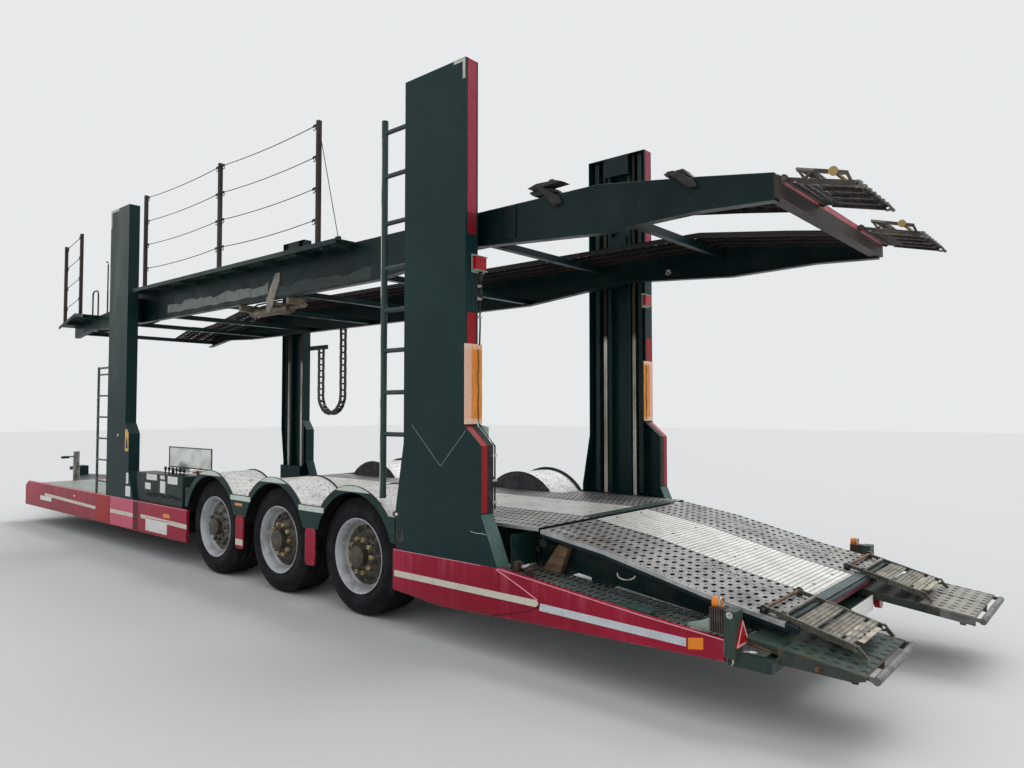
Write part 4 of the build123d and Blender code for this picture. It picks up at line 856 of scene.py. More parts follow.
for size, way in (("Hole size", -1.0), ("Small size", 1.0)):
    spot = add(perforated, "ShaderNodeVectorMath", {0: quarter.outputs[0], 3: way}, operation="SCALE")
    hole = add(perforated, "GeometryNodeTransform",
               {"Geometry": ring.outputs[0], "Scale": given[size], "Translation": spot.outputs[0]})
    if way > 0:
        hole = add(perforated, "GeometryNodeSwitch",
                   {"Switch": given["Corner hole"], "True": hole.outputs[0]}, input_type="GEOMETRY")
    perforated.links.new(hole.outputs[0], drawn.inputs[0])
sheet = add(perforated, "GeometryNodeFillCurve", {"Curve": drawn.outputs[0]})
under = add(perforated, "GeometryNodeFlipFaces", {"Mesh": sheet.outputs[0]})
raised = add(perforated, "GeometryNodeExtrudeMesh",
             {"Mesh": sheet.outputs[0], "Offset": (0, 0, 1), "Offset Scale": given["Thickness"],
              "Individual": False})
both = add(perforated, "GeometryNodeJoinGeometry", {"Geometry": raised.outputs[0]})
perforated.links.new(under.outputs[0], both.inputs[0])
spread = []
for axis, count in ((0, "Columns"), (1, "Rows")):
    steps = add(perforated, "ShaderNodeMath", {0: given[count], 1: 1.0}, operation="SUBTRACT")
    spread.append(add(perforated, "ShaderNodeMath", {0: steps.outputs[0], 1: pitch.outputs[axis]},
                      operation="MULTIPLY").outputs[0])
grid = add(perforated, "GeometryNodeMeshGrid", {"Size X": spread[0], "Size Y": spread[1],
                                                "Vertices X": given["Columns"], "Vertices Y": given["Rows"]})
cells = add(perforated, "GeometryNodeInstanceOnPoints",
            {"Points": grid.outputs[0], "Instance": both.outputs[0]})
real = add(perforated, "GeometryNodeRealizeInstances", {"Geometry": cells.outputs[0]})
merged = add(perforated, "GeometryNodeMergeByDistance", {"Geometry": real.outputs[0], "Distance": 0.0002})
close_tree(perforated, given, result, merged.outputs[0])

track_thickness = 0.006
deck_pitch = (0.052, 0.107)
deck_hole = (0.026, 0.050)
deck_drain = (0.014, 0.013)


def height_of(line, x):
    """The height of a line of stations at x."""
    for (x0, z0), (x1, z1) in zip(line, line[1:]):
        if x0 <= x <= x1:
            return z0 + (z1 - z0) * (x - x0) / (x1 - x0)
    return line[0][1] if x < line[0][0] else line[-1][1]


def plank(name, x, y, line, material, body, pitch=deck_pitch, big=deck_hole, small=deck_drain,
          thickness=track_thickness):
    """A perforated sheet between the limits x and y, its top on a line of stations (x, z)."""
    length, width = x[1] - x[0], y[1] - y[0]
    columns = max(1, round(length / pitch[0]))
    rows = max(1, round(width / pitch[1]))
    cell = (length / columns, width / rows, 0)
    made = grow(name, perforated, {
        "Columns": columns, "Rows": rows, "Pitch": cell, "Hole size": (*big, 1),
        "Small size": (*(small or big), 1), "Corner hole": small is not None,
        "Thickness": thickness, "Material": material}, body)
    form = bmesh.new()
    form.from_mesh(made.data)
    sharing = {}
    for face in form.faces:
        sharing.setdefault(frozenset(corner.index for corner in face.verts), []).append(face)
    inner_walls = [face for shared in sharing.values() if len(shared) > 1 for face in shared]
    bmesh.ops.delete(form, geom=inner_walls, context="FACES")
    middle = ((x[0] + x[1]) / 2, (y[0] + y[1]) / 2)
    for corner in form.verts:
        corner.co.x += middle[0]
        corner.co.y += middle[1]
        corner.co.z += height_of(line, corner.co.x) - thickness
    form.to_mesh(made.data)
    form.free()
    return made


def joined(name, *parts):
    """Joins pieces of one material that ride on one body into the first, under a new name."""
    form = bmesh.new()
    for part in parts:
        form.from_mesh(part.data)
    form.to_mesh(parts[0].data)
    form.free()
    for part in parts[1:]:
        bpy.data.objects.remove(part)
    parts[0].name = name
    return parts[0]


def follow(form, line, depth, y_from, y_to):
    """A plate on edge whose top follows a line of stations (x, z)."""
    prism(form, list(line) + [(x, z - depth) for x, z in reversed(line)], y_from, y_to)


def mirrored(low, high):
    """A span of Y on the left, and the same on the right."""
    return ((low, high), (-high, -low))

# Side tracks: low plates of greenish weathered zinc inside the rear skirts, punched with close slots, with
# a folded outer edge. They rest on the ramp channels' walls and the skirts.
side_zinc = zinc("side_track_zinc", (132, 142, 138), (62, 72, 70), stain=0.8)
rear_post_x = -4.15
tail_x = rear_post_x - 1.88
side_line = [(tail_x, 0.416), (rear_post_x - 1.385, 0.455), (rear_post_x - 0.31, 0.564)]
side_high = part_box("side_tracks")[1]
side_inner = side_high[1] - 0.378
side_fold = 0.030
parts = []
for y in mirrored(side_inner, side_high[1] - side_fold):
    parts.append(plank("plank", (side_line[0][0], side_line[-1][0]), y, side_line, side_zinc, "root",
                       (0.046, 0.087), (0.026, 0.052), None))
for y in mirrored(side_high[1] - side_fold, side_high[1]):
    parts.append(shell("fold", lambda form: follow(form, side_line, 0.060, *y), side_zinc, "root"))
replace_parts(joined("side_track_planks", *parts), "side_tracks")

# Loose gear on the side track: a wooden wedge under the platform, a hasp by the post, and a stop block.
wood = finish("wedge_wood", 0.8)
grain = cloud(16.0, (0.15, 1, 1), detail=8.0)
paint(tint(fade(grain, 0.35, 0.7), (142, 114, 84), (84, 66, 48)))
relief(grain, 0.4, 0.002)


def wedge_forms(form):
    prism(form, [(-4.555, 0.556), (-4.700, 0.541), (-4.770, 0.715), (-4.690, 0.735), (-4.660, 0.700)],
          0.868, 0.925)


shell("wooden_wedge", wedge_forms, wood, "root", 0.004)
old_rust = rusty_metal("old_rust", (128, 84, 52), (66, 44, 34), 20.0, 0.8, 0.2)
dark_iron = rusty_metal("dark_iron", (54, 46, 42), (92, 70, 56), 24.0, 0.7, 0.3)


def hasp_forms(form):
    bar(form, (-4.650, 1.130, 0.560), (-4.500, 1.215, 0.575))
    bar(form, (-4.560, 1.140, 0.573), (-4.520, 1.200, 0.640))
    swept(form, [(-4.645, 1.135, 0.600), (-4.645, 1.215, 0.600)], 0.014)
    swept(form, [(-4.600, 1.150, 0.600), (-4.520, 1.150, 0.635)], 0.012)


shell("skirt_hasp", hasp_forms, dark_iron, "root", 0.002)
bright_steel = rusty_metal("bright_steel", (196, 194, 188), (120, 112, 100), 18.0, 0.35, 0.8)


def hasp_pin(form):
    swept(form, [(-4.632, 1.100, 0.625), (-4.632, 1.235, 0.625)], 0.012, 12)


shell("hasp_pin", hasp_pin, bright_steel, "root", smooth=True)
block_green = worn_paint("block_green", (40, 66, 62), (70, 92, 84), (130, 130, 118))


def stop_forms(form):
    for side in (1, -1):
        y_low, y_high = span(side, 1.150, 1.236)
        x_from, x_to = -5.560, -5.420
        z = height_of(side_line, x_from)
        prism(form, [(x_from, z), (x_to, z + 0.014), (x_to, z + 0.060), (x_from, z + 0.046)], y_low, y_high)
        prism(form, [(x_to, z + 0.014), (x_to + 0.150, z + 0.030), (x_to + 0.150, z + 0.046),
                     (x_to, z + 0.048)], y_low, y_high)


shell("stop_blocks", stop_forms, block_green, "root", 0.003)

# Deck over the axles: punched planks between the wheels, wider under the rear posts, with a rolled edge.
# The planks are screwed to the cross members.
deck_zinc = zinc("deck_zinc", (158, 156, 154), (76, 72, 70), stain=0.85, shaded_within=1.0249)
deck_low, deck_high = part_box("axle_deck")
strip_low, strip_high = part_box("centre_strip")
track_inner = strip_high[1] + 0.010
arch_deck = 0.780
wide_to = rear_post_x + 0.70
lip_width = 0.005
lip_depth = 0.024
deck_top = [(deck_low[0], deck_high[2]), (deck_high[0], deck_high[2])]
parts = []
for x, y_from, y_to in (((deck_low[0], deck_high[0]), track_inner, arch_deck),
                        ((deck_low[0], wide_to), arch_deck, deck_high[1] - lip_width)):
    for y in mirrored(y_from, y_to):
        parts.append(plank("plank", x, y, deck_top, deck_zinc, "root"))
deck_edge = [(deck_low[0], deck_high[2]), (rear_post_x, deck_high[2])]
narrow_edge = [(rear_post_x, deck_high[2]), (wide_to, deck_high[2])]
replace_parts(joined("axle_deck_planks", *parts), "axle_deck")
edge_zinc = zinc("edge_zinc", (186, 190, 190), (120, 122, 120), stain=0.5, shaded_within=0.0)


def rolled_edges(form):
    for y in mirrored(deck_high[1] - lip_width, deck_high[1]):
        follow(form, deck_edge, lip_depth, *y)
        follow(form, narrow_edge, track_thickness, *y)


shell("axle_deck_edges", rolled_edges, edge_zinc, "root")

# Rear apron: green steel plate under the deck's rear end, down between the ramp channels, with a short
# plate above each side track. It is welded to the frame.
apron_rear = rear_post_x - 0.312
apron_thickness = 0.006


def rear_apron(form):
    front = apron_rear + apron_thickness
    bar(form, (apron_rear, -0.850, 0.420), (front, 0.850, 0.815))
    for y_low, y_high in mirrored(0.870, 1.140):
        bar(form, (front, y_low, 0.570), (front + apron_thickness, y_high, 0.800))


shell("rear_apron", rear_apron, panel_green, "root")

# Front floor: plain zinc sheet, greenish and scuffed, on the front beams.
floor_zinc = zinc("front_floor_zinc", (150, 160, 152), (92, 104, 98), stain=0.7)
dress(floor_zinc, "front_floor")

# Centre strips: aluminium plank with small close slots, bright with traffic and sandy in places, held by
# dark countersunk bolts.
strip_metal = zinc("strip_aluminium", (224, 224, 218), (172, 166, 154), spangle=14.0, stain=0.45,
                   metallic=0.25, sand=(178, 164, 138))
slot_pitch = (0.033, 0.027)
slot_size = (0.012, 0.016)
made = plank("centre_strip_plank", (strip_low[0], strip_high[0]), (strip_low[1], strip_high[1]), deck_top,
             strip_metal, "root", slot_pitch, slot_size, None)
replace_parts(made, "centre_strip")
fold_x = -4.600
fold_green = worn_paint("fold_green", (40, 62, 62), (66, 88, 84), (120, 118, 110), dust=0.4)
fold_line = [(fold_x, deck_z + 0.003), (strip_low[0] - 0.002, deck_z + 0.003)]
plank("fold_bar_plate", (fold_x + 0.002, strip_low[0] - 0.002), (-0.900, strip_high[1]), fold_line,
      fold_green, "root", (0.031, 0.050), (0.012, 0.012), None, 0.003)

# Rear platform: punched planks and strip on two rails, which tilt about a tube at the deck's rear end. The
# outer edge is rolled and bright, the rails and the web under it are dark green.
rail_green = worn_paint("rail_green", (14, 30, 36), (30, 50, 54), (90, 86, 78), dust=0.15)
dress(rail_green, "platform_hinge_tube", "platform_frame")
plates_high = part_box("platform_plates")[1]
platform_line = [(rear_post_x - 2.105, 0.524), (rear_post_x - 1.65, 0.608), (rear_post_x - 0.97, 0.762),
                 (rear_post_x - 0.468, 0.838)]
platform_x = (platform_line[0][0], platform_line[-1][0])
parts = []
for y in mirrored(track_inner, plates_high[1] - lip_width):
    parts.append(plank("plank", platform_x, y, platform_line, deck_zinc, "platform"))


def platform_rolled_edges(form):
    for y in mirrored(plates_high[1] - lip_width, plates_high[1]):
        follow(form, platform_line, lip_depth, *y)


shell("platform_edges", platform_rolled_edges, edge_zinc, "platform")
flap_hinge_x = rear_post_x - 1.98
flap_hinge_z = height_of(platform_line, flap_hinge_x) + 0.024
flap_y = (0.470, 0.980)
lug_outline = [(flap_hinge_x - 0.020, flap_hinge_z - 0.0265), (flap_hinge_x + 0.020, flap_hinge_z - 0.0265)]
lug_outline += arc((flap_hinge_x, flap_hinge_z), 0.020, 0, 180, 10)


def flap_lugs(form):
    for y_low, y_high in mirrored(*flap_y):
        for y in ((y_low - 0.020, y_low - 0.008), (y_high + 0.008, y_high + 0.020)):
            prism(form, lug_outline, *y)


parts.append(shell("lugs", flap_lugs, deck_zinc, "platform"))
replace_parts(joined("platform_planks", *parts), "platform_plates")
low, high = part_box("platform_strip")
made = plank("platform_strip_plank", (low[0], high[0]), (low[1], high[1]), platform_line, strip_metal,
             "platform", slot_pitch, slot_size, None)
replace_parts(made, "platform_strip")


def strip_bolts(form, places, line):
    for x, y in places:
        z = height_of(line, x)
        turned(form, [(-0.002, core), (-0.002, 0.011), (0.0015, 0.011), (0.002, 0.008), (0.002, core)],
               (x, y, z), (0, 0, 1), 12)


dark_bolt = rusty_metal("dark_bolt", (44, 42, 40), (74, 66, 58), 40.0, 0.6, 0.4)
bolt_rows = (-0.20, 0.15)
platform_bolts = [(x, y) for x in (-4.66, -5.13, -5.59, -6.11) for y in bolt_rows]
shell("platform_strip_bolts", lambda form: strip_bolts(form, platform_bolts, platform_line), dark_bolt,
      "platform")
deck_bolts = [(x, y) for x in (-4.42, -3.83, -3.24, -2.65, -2.06, -1.47, -0.88, -0.29) for y in bolt_rows]
shell("deck_strip_bolts", lambda form: strip_bolts(form, deck_bolts, deck_top), dark_bolt, "root")


def platform_end_plate(form):
    line = [(x, height_of(platform_line, x)) for x in (rear_post_x - 2.045, rear_post_x - 2.104)]
    prism(form, line + [(x, z + 0.003) for x, z in reversed(line)], -0.985, 0.985)


shell("platform_end_plate", platform_end_plate, fold_green, "platform")
end_tape = film("end_tape", (84, 8, 22), (56, 20, 26), 0.4, 0.5)


def platform_end_tape(form):
    bar(form, (rear_post_x - 2.131, -0.425, 0.478), (rear_post_x - 2.128, 0.425, 0.500))


shell("platform_end_tape", platform_end_tape, end_tape, "platform")


def tie_hook(form):
    for side in (1, -1):
        points = [(-5.290 + 0.064 * math.cos(turn), side * (1.031 + 0.022 * math.sin(turn)),
                   0.640 - 0.030 * math.sin(turn)) for turn in [math.pi * k / 10 for k in range(11)]]
        swept(form, points, 0.006)


shell("web_tie_hooks", tie_hook, bright_steel, "platform", smooth=True)

# Deck flaps: short hinged steel ramps at the platform's tail. Grey-brown bars under old green paint, light
# ridged treads between them, and a rusty rod.
flap_finish = finish("flap_steel", 0.6, 0.25)
bar_tone = tint(patches(9.0, 0.40, 0.64, detail=8.0), (92, 92, 80), (60, 54, 44))
tread_tone = tint(patches(13.0, 0.42, 0.66, detail=8.0), (152, 148, 136), (96, 88, 78))
ridges = add(tree, "ShaderNodeTexWave", {"Vector": coords, "Scale": 14.0},
             bands_direction="X").outputs["Fac"]
# Painted shade: the grooves between the tread's ridges are painted dark.
tread_tone = tint(fade(ridges, 0.30, 0.12, 0.0, 0.75), tread_tone, (52, 46, 40))
rust_bloom = patches(11.0, 0.60, 0.70, 0.0, 0.7, stretch=(1, 0.5, 1), detail=6.0)
tread_tone = tint(rust_bloom, tread_tone, (176, 128, 76))
across = along(1, True)
inside_bars = product(fade(across, flap_y[0] + 0.0145, flap_y[0] + 0.0155),
                      fade(across, flap_y[1] - 0.0145, flap_y[1] - 0.0155))
near_rod = fade(along(0), flap_hinge_x - 0.030, flap_hinge_x - 0.020)
base = tint(inside_bars, bar_tone, tread_tone)
rust_tone = tint(patches(26.0, 0.4, 0.6), (124, 88, 60), (74, 54, 42))
base = tint(product(near_rod, inside_bars), base, rust_tone)
worn_edge = product(edges(0.005), patches(30.0, 0.45, 0.6, 0.0, 0.7))
paint(tint(worn_edge, base, (176, 168, 150)))
relief(ridges, 0.6, 0.004)
dress(flap_finish, "deck_flap_left", "deck_flap_right")
flap_tip = (rear_post_x - 2.465, 0.458)
flap_fall = (flap_hinge_z - flap_tip[1]) / (flap_hinge_x - flap_tip[0])
foot_inner, foot_outer = 0.560, 0.890
foot_pitch = 0.0765
foot_bar = 0.024
foot_metal = rusty_metal("flap_foot_metal", (168, 160, 142), (112, 98, 80), 18.0, 0.55, 0.3)


def flap_feet(form, side):
    def slat(x_from, x_to, y_from, y_to):
        ends = [(x, flap_tip[1] + (x - flap_tip[0]) * flap_fall - 0.002) for x in (x_from, x_to)]
        y = span(side, y_from, y_to)
        follow(form, ends, 0.005, *y)

    slat(flap_tip[0] + 0.010, flap_tip[0] + 0.036, foot_inner, foot_outer)
    slat(flap_tip[0] + 0.070, flap_tip[0] + 0.104, foot_inner, foot_outer)
    for step in range(5):
        inner = foot_inner + step * foot_pitch
        slat(flap_tip[0] + 0.036, flap_tip[0] + 0.070, inner, inner + foot_bar)


for hand, side in (("left", 1), ("right", -1)):
    shell("flap_foot_" + hand, lambda form: flap_feet(form, side), foot_metal, "deck_flap_" + hand)

# Low ramps: long steel treads that slide out at the tail, with a wing in old green paint, rusty along its
# edges. Each wing has a punched top plate, a plain front end, a thin rusty rod and a round stop.
ramp_finish = finish("low_ramp_paint", 0.55, 0.15)
green_old = tint(patches(8.0, 0.42, 0.66, detail=8.0), (30, 46, 42), (62, 68, 60))
rust_patches = patches(12.0, 0.56, 0.66, 0.0, 0.8, detail=9.0)
green_old = tint(rust_patches, green_old, (96, 66, 46))
edge_rust = product(edges(0.006), patches(22.0, 0.40, 0.55, 0.0, 0.9))
green_old = tint(edge_rust, green_old, (134, 84, 54))
tip_grey = fade(along(0), -6.690, -6.700)
green_old = tint(tip_grey, green_old, tint(patches(10.0, 0.4, 0.7), (112, 112, 110), (66, 60, 54)))
# Painted shade: the ramp's upward faces under the punched plates are painted near black, to show through the
# plates' holes.
painted_shade_under_plates = product(fade(along(2, normal=True), 0.85, 0.95), product(fade(along(0), -6.690, -6.680),
                                                                        fade(along(1, True), 0.440, 0.441)))
green_old = tint(painted_shade_under_plates, green_old, (14, 13, 13))
paint(green_old)
relief(cloud(50.0, detail=6.0), 0.3, 0.0015)
dress(ramp_finish, "low_ramp_left", "low_ramp_right")
ramp_slope = math.radians(7.0)
ramp_fall = math.tan(ramp_slope)
ramp_tip = (-6.750, 0.375)
ramp_overlay = 0.0025
wing_length = 0.46
wing_pitch = (0.064, 0.078)
wing_hole = (0.036, 0.036)
stop_place = 0.274
wing_green = worn_paint("wing_green", (44, 62, 54), (78, 88, 78), (104, 76, 52), dust=0.4)
wing_grey = zinc("wing_grey", (136, 134, 124), (78, 72, 62), stain=0.8)
for hand, side, out, cover in (("left", 1, 0.0, wing_green), ("right", -1, 0.2, wing_grey)):
    tip = ramp_tip[0] - out * math.cos(ramp_slope)
    line = [(tip, ramp_tip[1] + (tip - ramp_tip[0]) * ramp_fall + ramp_overlay)]
    line.append((tip + wing_length, line[0][1] + wing_length * ramp_fall))
    for part, reach, inner, outer in (("wing", 0.455, 0.862, 1.176), ("ramp", 0.370, 0.440, 0.848)):
        plank("%s_plate_%s" % (part, hand), (tip + 0.065, tip + reach), span(side, inner, outer), line,
              cover, "low_ramp_" + hand, wing_pitch, wing_hole, None, ramp_overlay - 0.0003)

    def ramp_stop(form):
        y = span(side, 1.168, 1.198)
        centre = (tip + stop_place, y[0], line[0][1] + stop_place * ramp_fall - 0.040)
        turned(form, [(0.0, core), (0.0, 0.016), (0.024, 0.016), (y[1] - y[0], 0.011), (y[1] - y[0], core)],
               centre, (0, 1, 0), 16)

    shell("ramp_stop_" + hand, ramp_stop, old_rust, "low_ramp_" + hand, smooth=True)

    def wing_end(form):
        rear, front = tip + 0.476, tip + 0.640
        y = span(side, 0.874, 1.166)
        ends = [(x, line[0][1] - ramp_overlay + (x - tip) * ramp_fall - 0.001) for x in (rear, front)]
        follow(form, ends, 0.004, *y)
        y = span(side, 1.160, 1.166)
        follow(form, [(x, z - 0.004) for x, z in ends], 0.034, *y)

    shell("wing_end_" + hand, wing_end, wing_green, "low_ramp_" + hand)

    def wing_rod(form):
        y = side * 1.1725
        swept(form, [(tip + 0.640, y, line[0][1] + 0.050), (tip + 0.300, y, line[0][1] - 0.004)], 0.0055)

    shell("wing_rod_" + hand, wing_rod, old_rust, "low_ramp_" + hand, smooth=True)

# Tail: a bar across the end with a lamp post at each side, painted green. It carries round lamps, triangle
# reflectors with a pale rim, a ribbed housing, and a blank number plate.
tail_green = worn_paint("tail_green", (36, 54, 50), (64, 80, 72), (116, 90, 68), dust=0.4)
dress(tail_green, "tail_bar")
dress(red_lens, "red_lamps")
dress(amber_lens, "amber_lamps")
lamp_post_x = tail_x - 0.060
tail_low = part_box("tail_bar")[0]
plate_y = (-0.395, 0.065)
plate_z = (0.316, 0.412)


def number_plate(form):
    bar(form, (tail_low[0] - 0.002, plate_y[0] + 0.006, plate_z[0]),
        (tail_low[0], plate_y[1] - 0.006, plate_z[1]))
    for y in plate_y:
        inward = 0.006 if y < 0 else -0.006
        low_y, high_y = sorted((y, y + inward))
        bar(form, (tail_low[0] - 0.004, low_y, plate_z[0] - 0.002),
            (tail_low[0], high_y, plate_z[1] + 0.002))


shell("blank_number_plate", number_plate, blank_white, "root", 0.0006)
housing_brown = rusty_metal("housing_brown", (52, 42, 40), (82, 68, 60), 16.0, 0.6, 0.0)
bracket_green = film("bracket_green", (154, 172, 160), (108, 116, 104), 0.5, 0.5)
ring_chrome = rusty_metal("ring_chrome", (206, 204, 198), (150, 146, 138), 20.0, 0.25, 0.8)


def housings(form):
    for side in (1, -1):
        y = span(side, 1.186, 1.252)
        for rib in range(7):
            x = tail_x + 0.006 + rib * 0.013
            bar(form, (x, y[0], 0.470), (x + 0.007, y[1], 0.598))
        bar(form, (tail_x + 0.004, y[0] + 0.006, 0.474), (tail_x + 0.090, y[1] - 0.006, 0.592))


shell("lamp_housings", housings, housing_brown, "root")


def brackets(form):
    outline = [(tail_x + 0.095, 0.452), (tail_x + 0.235, 0.468), (tail_x + 0.230, 0.486),
               (tail_x + 0.150, 0.512), (tail_x + 0.095, 0.540)]
    for y_low, y_high in mirrored(1.222, 1.226):
        prism(form, outline, y_low, y_high)
    for side in (1, -1):
        y = span(side, 1.180, 1.226)
        bar(form, (tail_x + 0.095, y[0], 0.452), (tail_x + 0.225, y[1], 0.456))


shell("lamp_brackets", brackets, bracket_green, "root")


lamp_radius = 0.030
ring_profile = [(-0.003, lamp_radius - 0.005), (-0.003, lamp_radius + 0.003), (0.010, lamp_radius + 0.003),
                (0.010, lamp_radius - 0.005)]


def lamp_rings(form):
    for side in (1, -1):
        turned(form, ring_profile, (tail_x + 0.040, side * 1.208, 0.617), (1, 0, 0), 28)
        turned(form, [(0.0, core), (0.0, 0.019), (0.0015, 0.019), (0.0022, 0.015), (0.0022, core)],
               (lamp_post_x + 0.030, side * (side_face - 0.001), 0.578), (0, side, 0), 20)


shell("lamp_rings", lamp_rings, ring_chrome, "root", smooth=True)
triangle_y = side_face - 0.076
triangle_z = 0.462
outer_radius = 0.150 / math.sqrt(3)
inner_radius = outer_radius - 0.018


def triangle_rims(form):
    face = lamp_post_x - 0.010
    for side in (1, -1):
        for k in range(3):
            corners = []
            for radius, turn in ((outer_radius, k), (outer_radius, k + 1), (inner_radius, k + 1),
                                 (inner_radius, k)):
                angle = math.radians(90 + 120 * turn)
                corners.append((side * triangle_y + radius * math.cos(angle),
                                triangle_z + radius * math.sin(angle)))
            prism(form, corners, face - 0.0015, face + 0.0005, axis=0)


rim_pink = film("rim_pink", (232, 176, 178), (200, 120, 124), 0.3, 0.3)
shell("triangle_rims", triangle_rims, rim_pink, "root")


def tail_handles(form):
    swept(form, [(lamp_post_x + 0.004, 1.240, 0.392), (lamp_post_x - 0.045, 1.240, 0.402),
                 (lamp_post_x - 0.100, 1.236, 0.404)], 0.006)
    swept(form, [(lamp_post_x + 0.020, 1.262, 0.362), (lamp_post_x + 0.016, 1.262, 0.338),
                 (lamp_post_x + 0.026, 1.262, 0.320)], 0.005)


shell("tail_handle", tail_handles, bright_steel, "root", smooth=True)

# Posts: four deep folded channels, open towards the deck, smooth dark green on the outside. Their paint has
# faded to grey-green on the front pair.
post_green = worn_paint("post_green", (10, 40, 42), (16, 48, 48), (60, 76, 72), 0.32, 0.08, 0.3)
post_faded = finish("post_green_faded", 0.5, 0.0, 0.18)
height_fade = fade(along(2), 1.7, 3.0)
mottled = patches(5.0, 0.40, 0.70, 0.35, 1.0, stretch=(1, 1, 0.25), detail=7.0)
outer_face = fade(along(1, True), side_face - 0.003, side_face - 0.001)
chalk = product(product(height_fade, mottled), outer_face)
paint(tint(chalk, (12, 42, 42), (84, 92, 88)))
relief(cloud(120.0, detail=2.0), 0.1, 0.0006)
dress(post_green, "posts_rear")
dress(post_faded, "posts_front")
post_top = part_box("posts_rear")[1][2]
mast_front_x = rear_post_x + 5.65
knee_z = 1.530
foot_x = rear_post_x - 0.150


def edge_strips(name, spans, material, thickness=0.0015):
    """Thin strips on both posts' rear faces: line (x, z), and the span of distance from the middle."""
    def build(form):
        for line, y_from, y_to in spans:
            behind = [(x - thickness, z - thickness * 0.6) for x, z in reversed(line)]
            for side in (1, -1):
                prism(form, list(line) + behind, *span(side, y_from, y_to))
    shell(name, build, material, "root")


def upright(top, bottom):
    """A line down a rear post's face, above the knee."""
    return [(rear_post_x, top), (rear_post_x, bottom)]


red_film = film("red_film", (158, 8, 24), (120, 16, 28), 0.35, 0.3)
crimson_film = film("crimson_film", (112, 10, 28), (80, 16, 28), 0.4, 0.3)
knee_end = (foot_x, knee_z - 0.130)
knee_line = [(rear_post_x, knee_z), knee_end]
film_inner, film_outer = 1.168, 1.256
foot_film_inner, foot_film_outer = 1.213, 1.268
edge_inner, edge_outer = 1.150, 1.212
strip_faded = film("strip_faded", (152, 34, 58), (176, 74, 92), 0.35, 0.5)
edge_strips("post_red_film_upper", [(upright(post_top, 3.035), film_inner, film_outer)], strip_faded)
edge_strips("post_red_film_middle", [(upright(3.035, 2.880), film_inner, film_outer)], crimson_film)
edge_strips("post_red_film_lower", [(upright(2.326, 2.104), film_inner, film_outer),
                                    (knee_line, foot_film_inner, foot_film_outer),
                                    ([knee_end, (foot_x, 0.945)], foot_film_inner, foot_film_outer)],
            red_film)
edge_strips("post_black_edges", [(upright(2.60, knee_z), edge_inner, 1.166),
                                 (knee_line, edge_inner, edge_outer),
                                 ([knee_end, (foot_x, 0.940)], edge_inner, edge_outer)], black_rubber)
foot_worn = worn_paint("foot_worn", (58, 84, 80), (92, 116, 110), (150, 152, 142), dust=0.35)
edge_strips("post_foot_faces", [([(foot_x, 0.932), (foot_x - 0.148, 0.604)], edge_inner, 1.2745)], foot_worn,
            0.0008)

# Orange film wrapped round the left rear post's edge, wrinkled, with a loose inner flap and tape at both
# ends; above it the post lamp's bracket, and a conduit with two connectors down the inner edge.
orange_film = finish("orange_film", 0.35)
wrinkles = cloud(22.0, (1, 3, 0.4), detail=6.0)
orange_base = tint(fade(wrinkles, 0.4, 0.65), (240, 150, 30), (214, 116, 22))
peach = fade(along(1, True), 1.214, 1.222)
orange_base = tint(peach, orange_base, (236, 186, 160))
ends_pale = work_out("MAXIMUM", fade(along(2), 2.060, 2.085), fade(along(2), 1.590, 1.565))
orange_base = tint(product(ends_pale, fade(wrinkles, 0.35, 0.55, 0.3, 1.0)), orange_base, (240, 206, 178))
paint(orange_base)
relief(wrinkles, 0.6, 0.004)
wrap_low, wrap_high = 1.545, 2.106


def wrap_forms(form, side):
    rows = 24
    line = [(rear_post_x + 0.006, side_face + 0.0009), (rear_post_x - 0.004, side_face + 0.0005),
            (rear_post_x - 0.005, 1.240), (rear_post_x - 0.004, 1.200), (rear_post_x - 0.006, 1.166),
            (rear_post_x - 0.004, 1.150), (rear_post_x - 0.010, 1.132), (rear_post_x - 0.004, 1.108)]
    grids = []
    for depth in (0.0, 0.0015):
        sheet_rows = []
        for row in range(rows + 1):
            z = wrap_low + (wrap_high - wrap_low) * row / rows
            ripple = 0.0014 * math.sin(row * 1.7) + 0.0010 * math.sin(row * 0.9 + 1.0)
            sheet_rows.append([form.verts.new((x + depth - (0 if k < 2 else abs(ripple)), side * y, z))
                               for k, (x, y) in enumerate(line)])
        grids.append(sheet_rows)
    for sheet_rows in grids:
        for here, there in zip(sheet_rows, sheet_rows[1:]):
            for k in range(len(line) - 1):
                form.faces.new((here[k], here[k + 1], there[k + 1], there[k]))
    front, back = grids
    for k in range(len(line) - 1):
        for row in (0, rows):
            form.faces.new((front[row][k], front[row][k + 1], back[row][k + 1], back[row][k]))
    for row in range(rows):
        for k in (0, len(line) - 1):
            form.faces.new((front[row][k], front[row + 1][k], back[row + 1][k], back[row][k]))


for hand, side in (("left", 1), ("right", -1)):
    shell("post_orange_wrap_" + hand, lambda form: wrap_forms(form, side), orange_film, "root")


def wrap_crease(form):
    for side in (1, -1):
        points = [(rear_post_x - 0.0085, side * (1.150 - 0.004 * math.sin(k * 1.3)),
                   wrap_low + 0.012 + k * 0.0365) for k in range(15)]
        swept(form, points, 0.0028, 6)


shell("post_wrap_crease", wrap_crease, black_rubber, "root", smooth=True)
lamp_low, lamp_high = 2.632, 2.722


def post_lamp_brackets(form):
    for side in (1, -1):
        y = span(side, 1.086, 1.216)
        bar(form, (rear_post_x - 0.003, y[0], lamp_low - 0.022),
            (rear_post_x - 0.0005, y[1], lamp_high + 0.020))
        bar(form, (rear_post_x - 0.040, y[0], lamp_low - 0.008),
            (rear_post_x - 0.001, y[1], lamp_low - 0.002))
        bar(form, (rear_post_x - 0.040, y[0], lamp_high + 0.002),
            (rear_post_x - 0.001, y[1], lamp_high + 0.008))


shell("post_lamp_brackets", post_lamp_brackets, bracket_green, "root", 0.001)


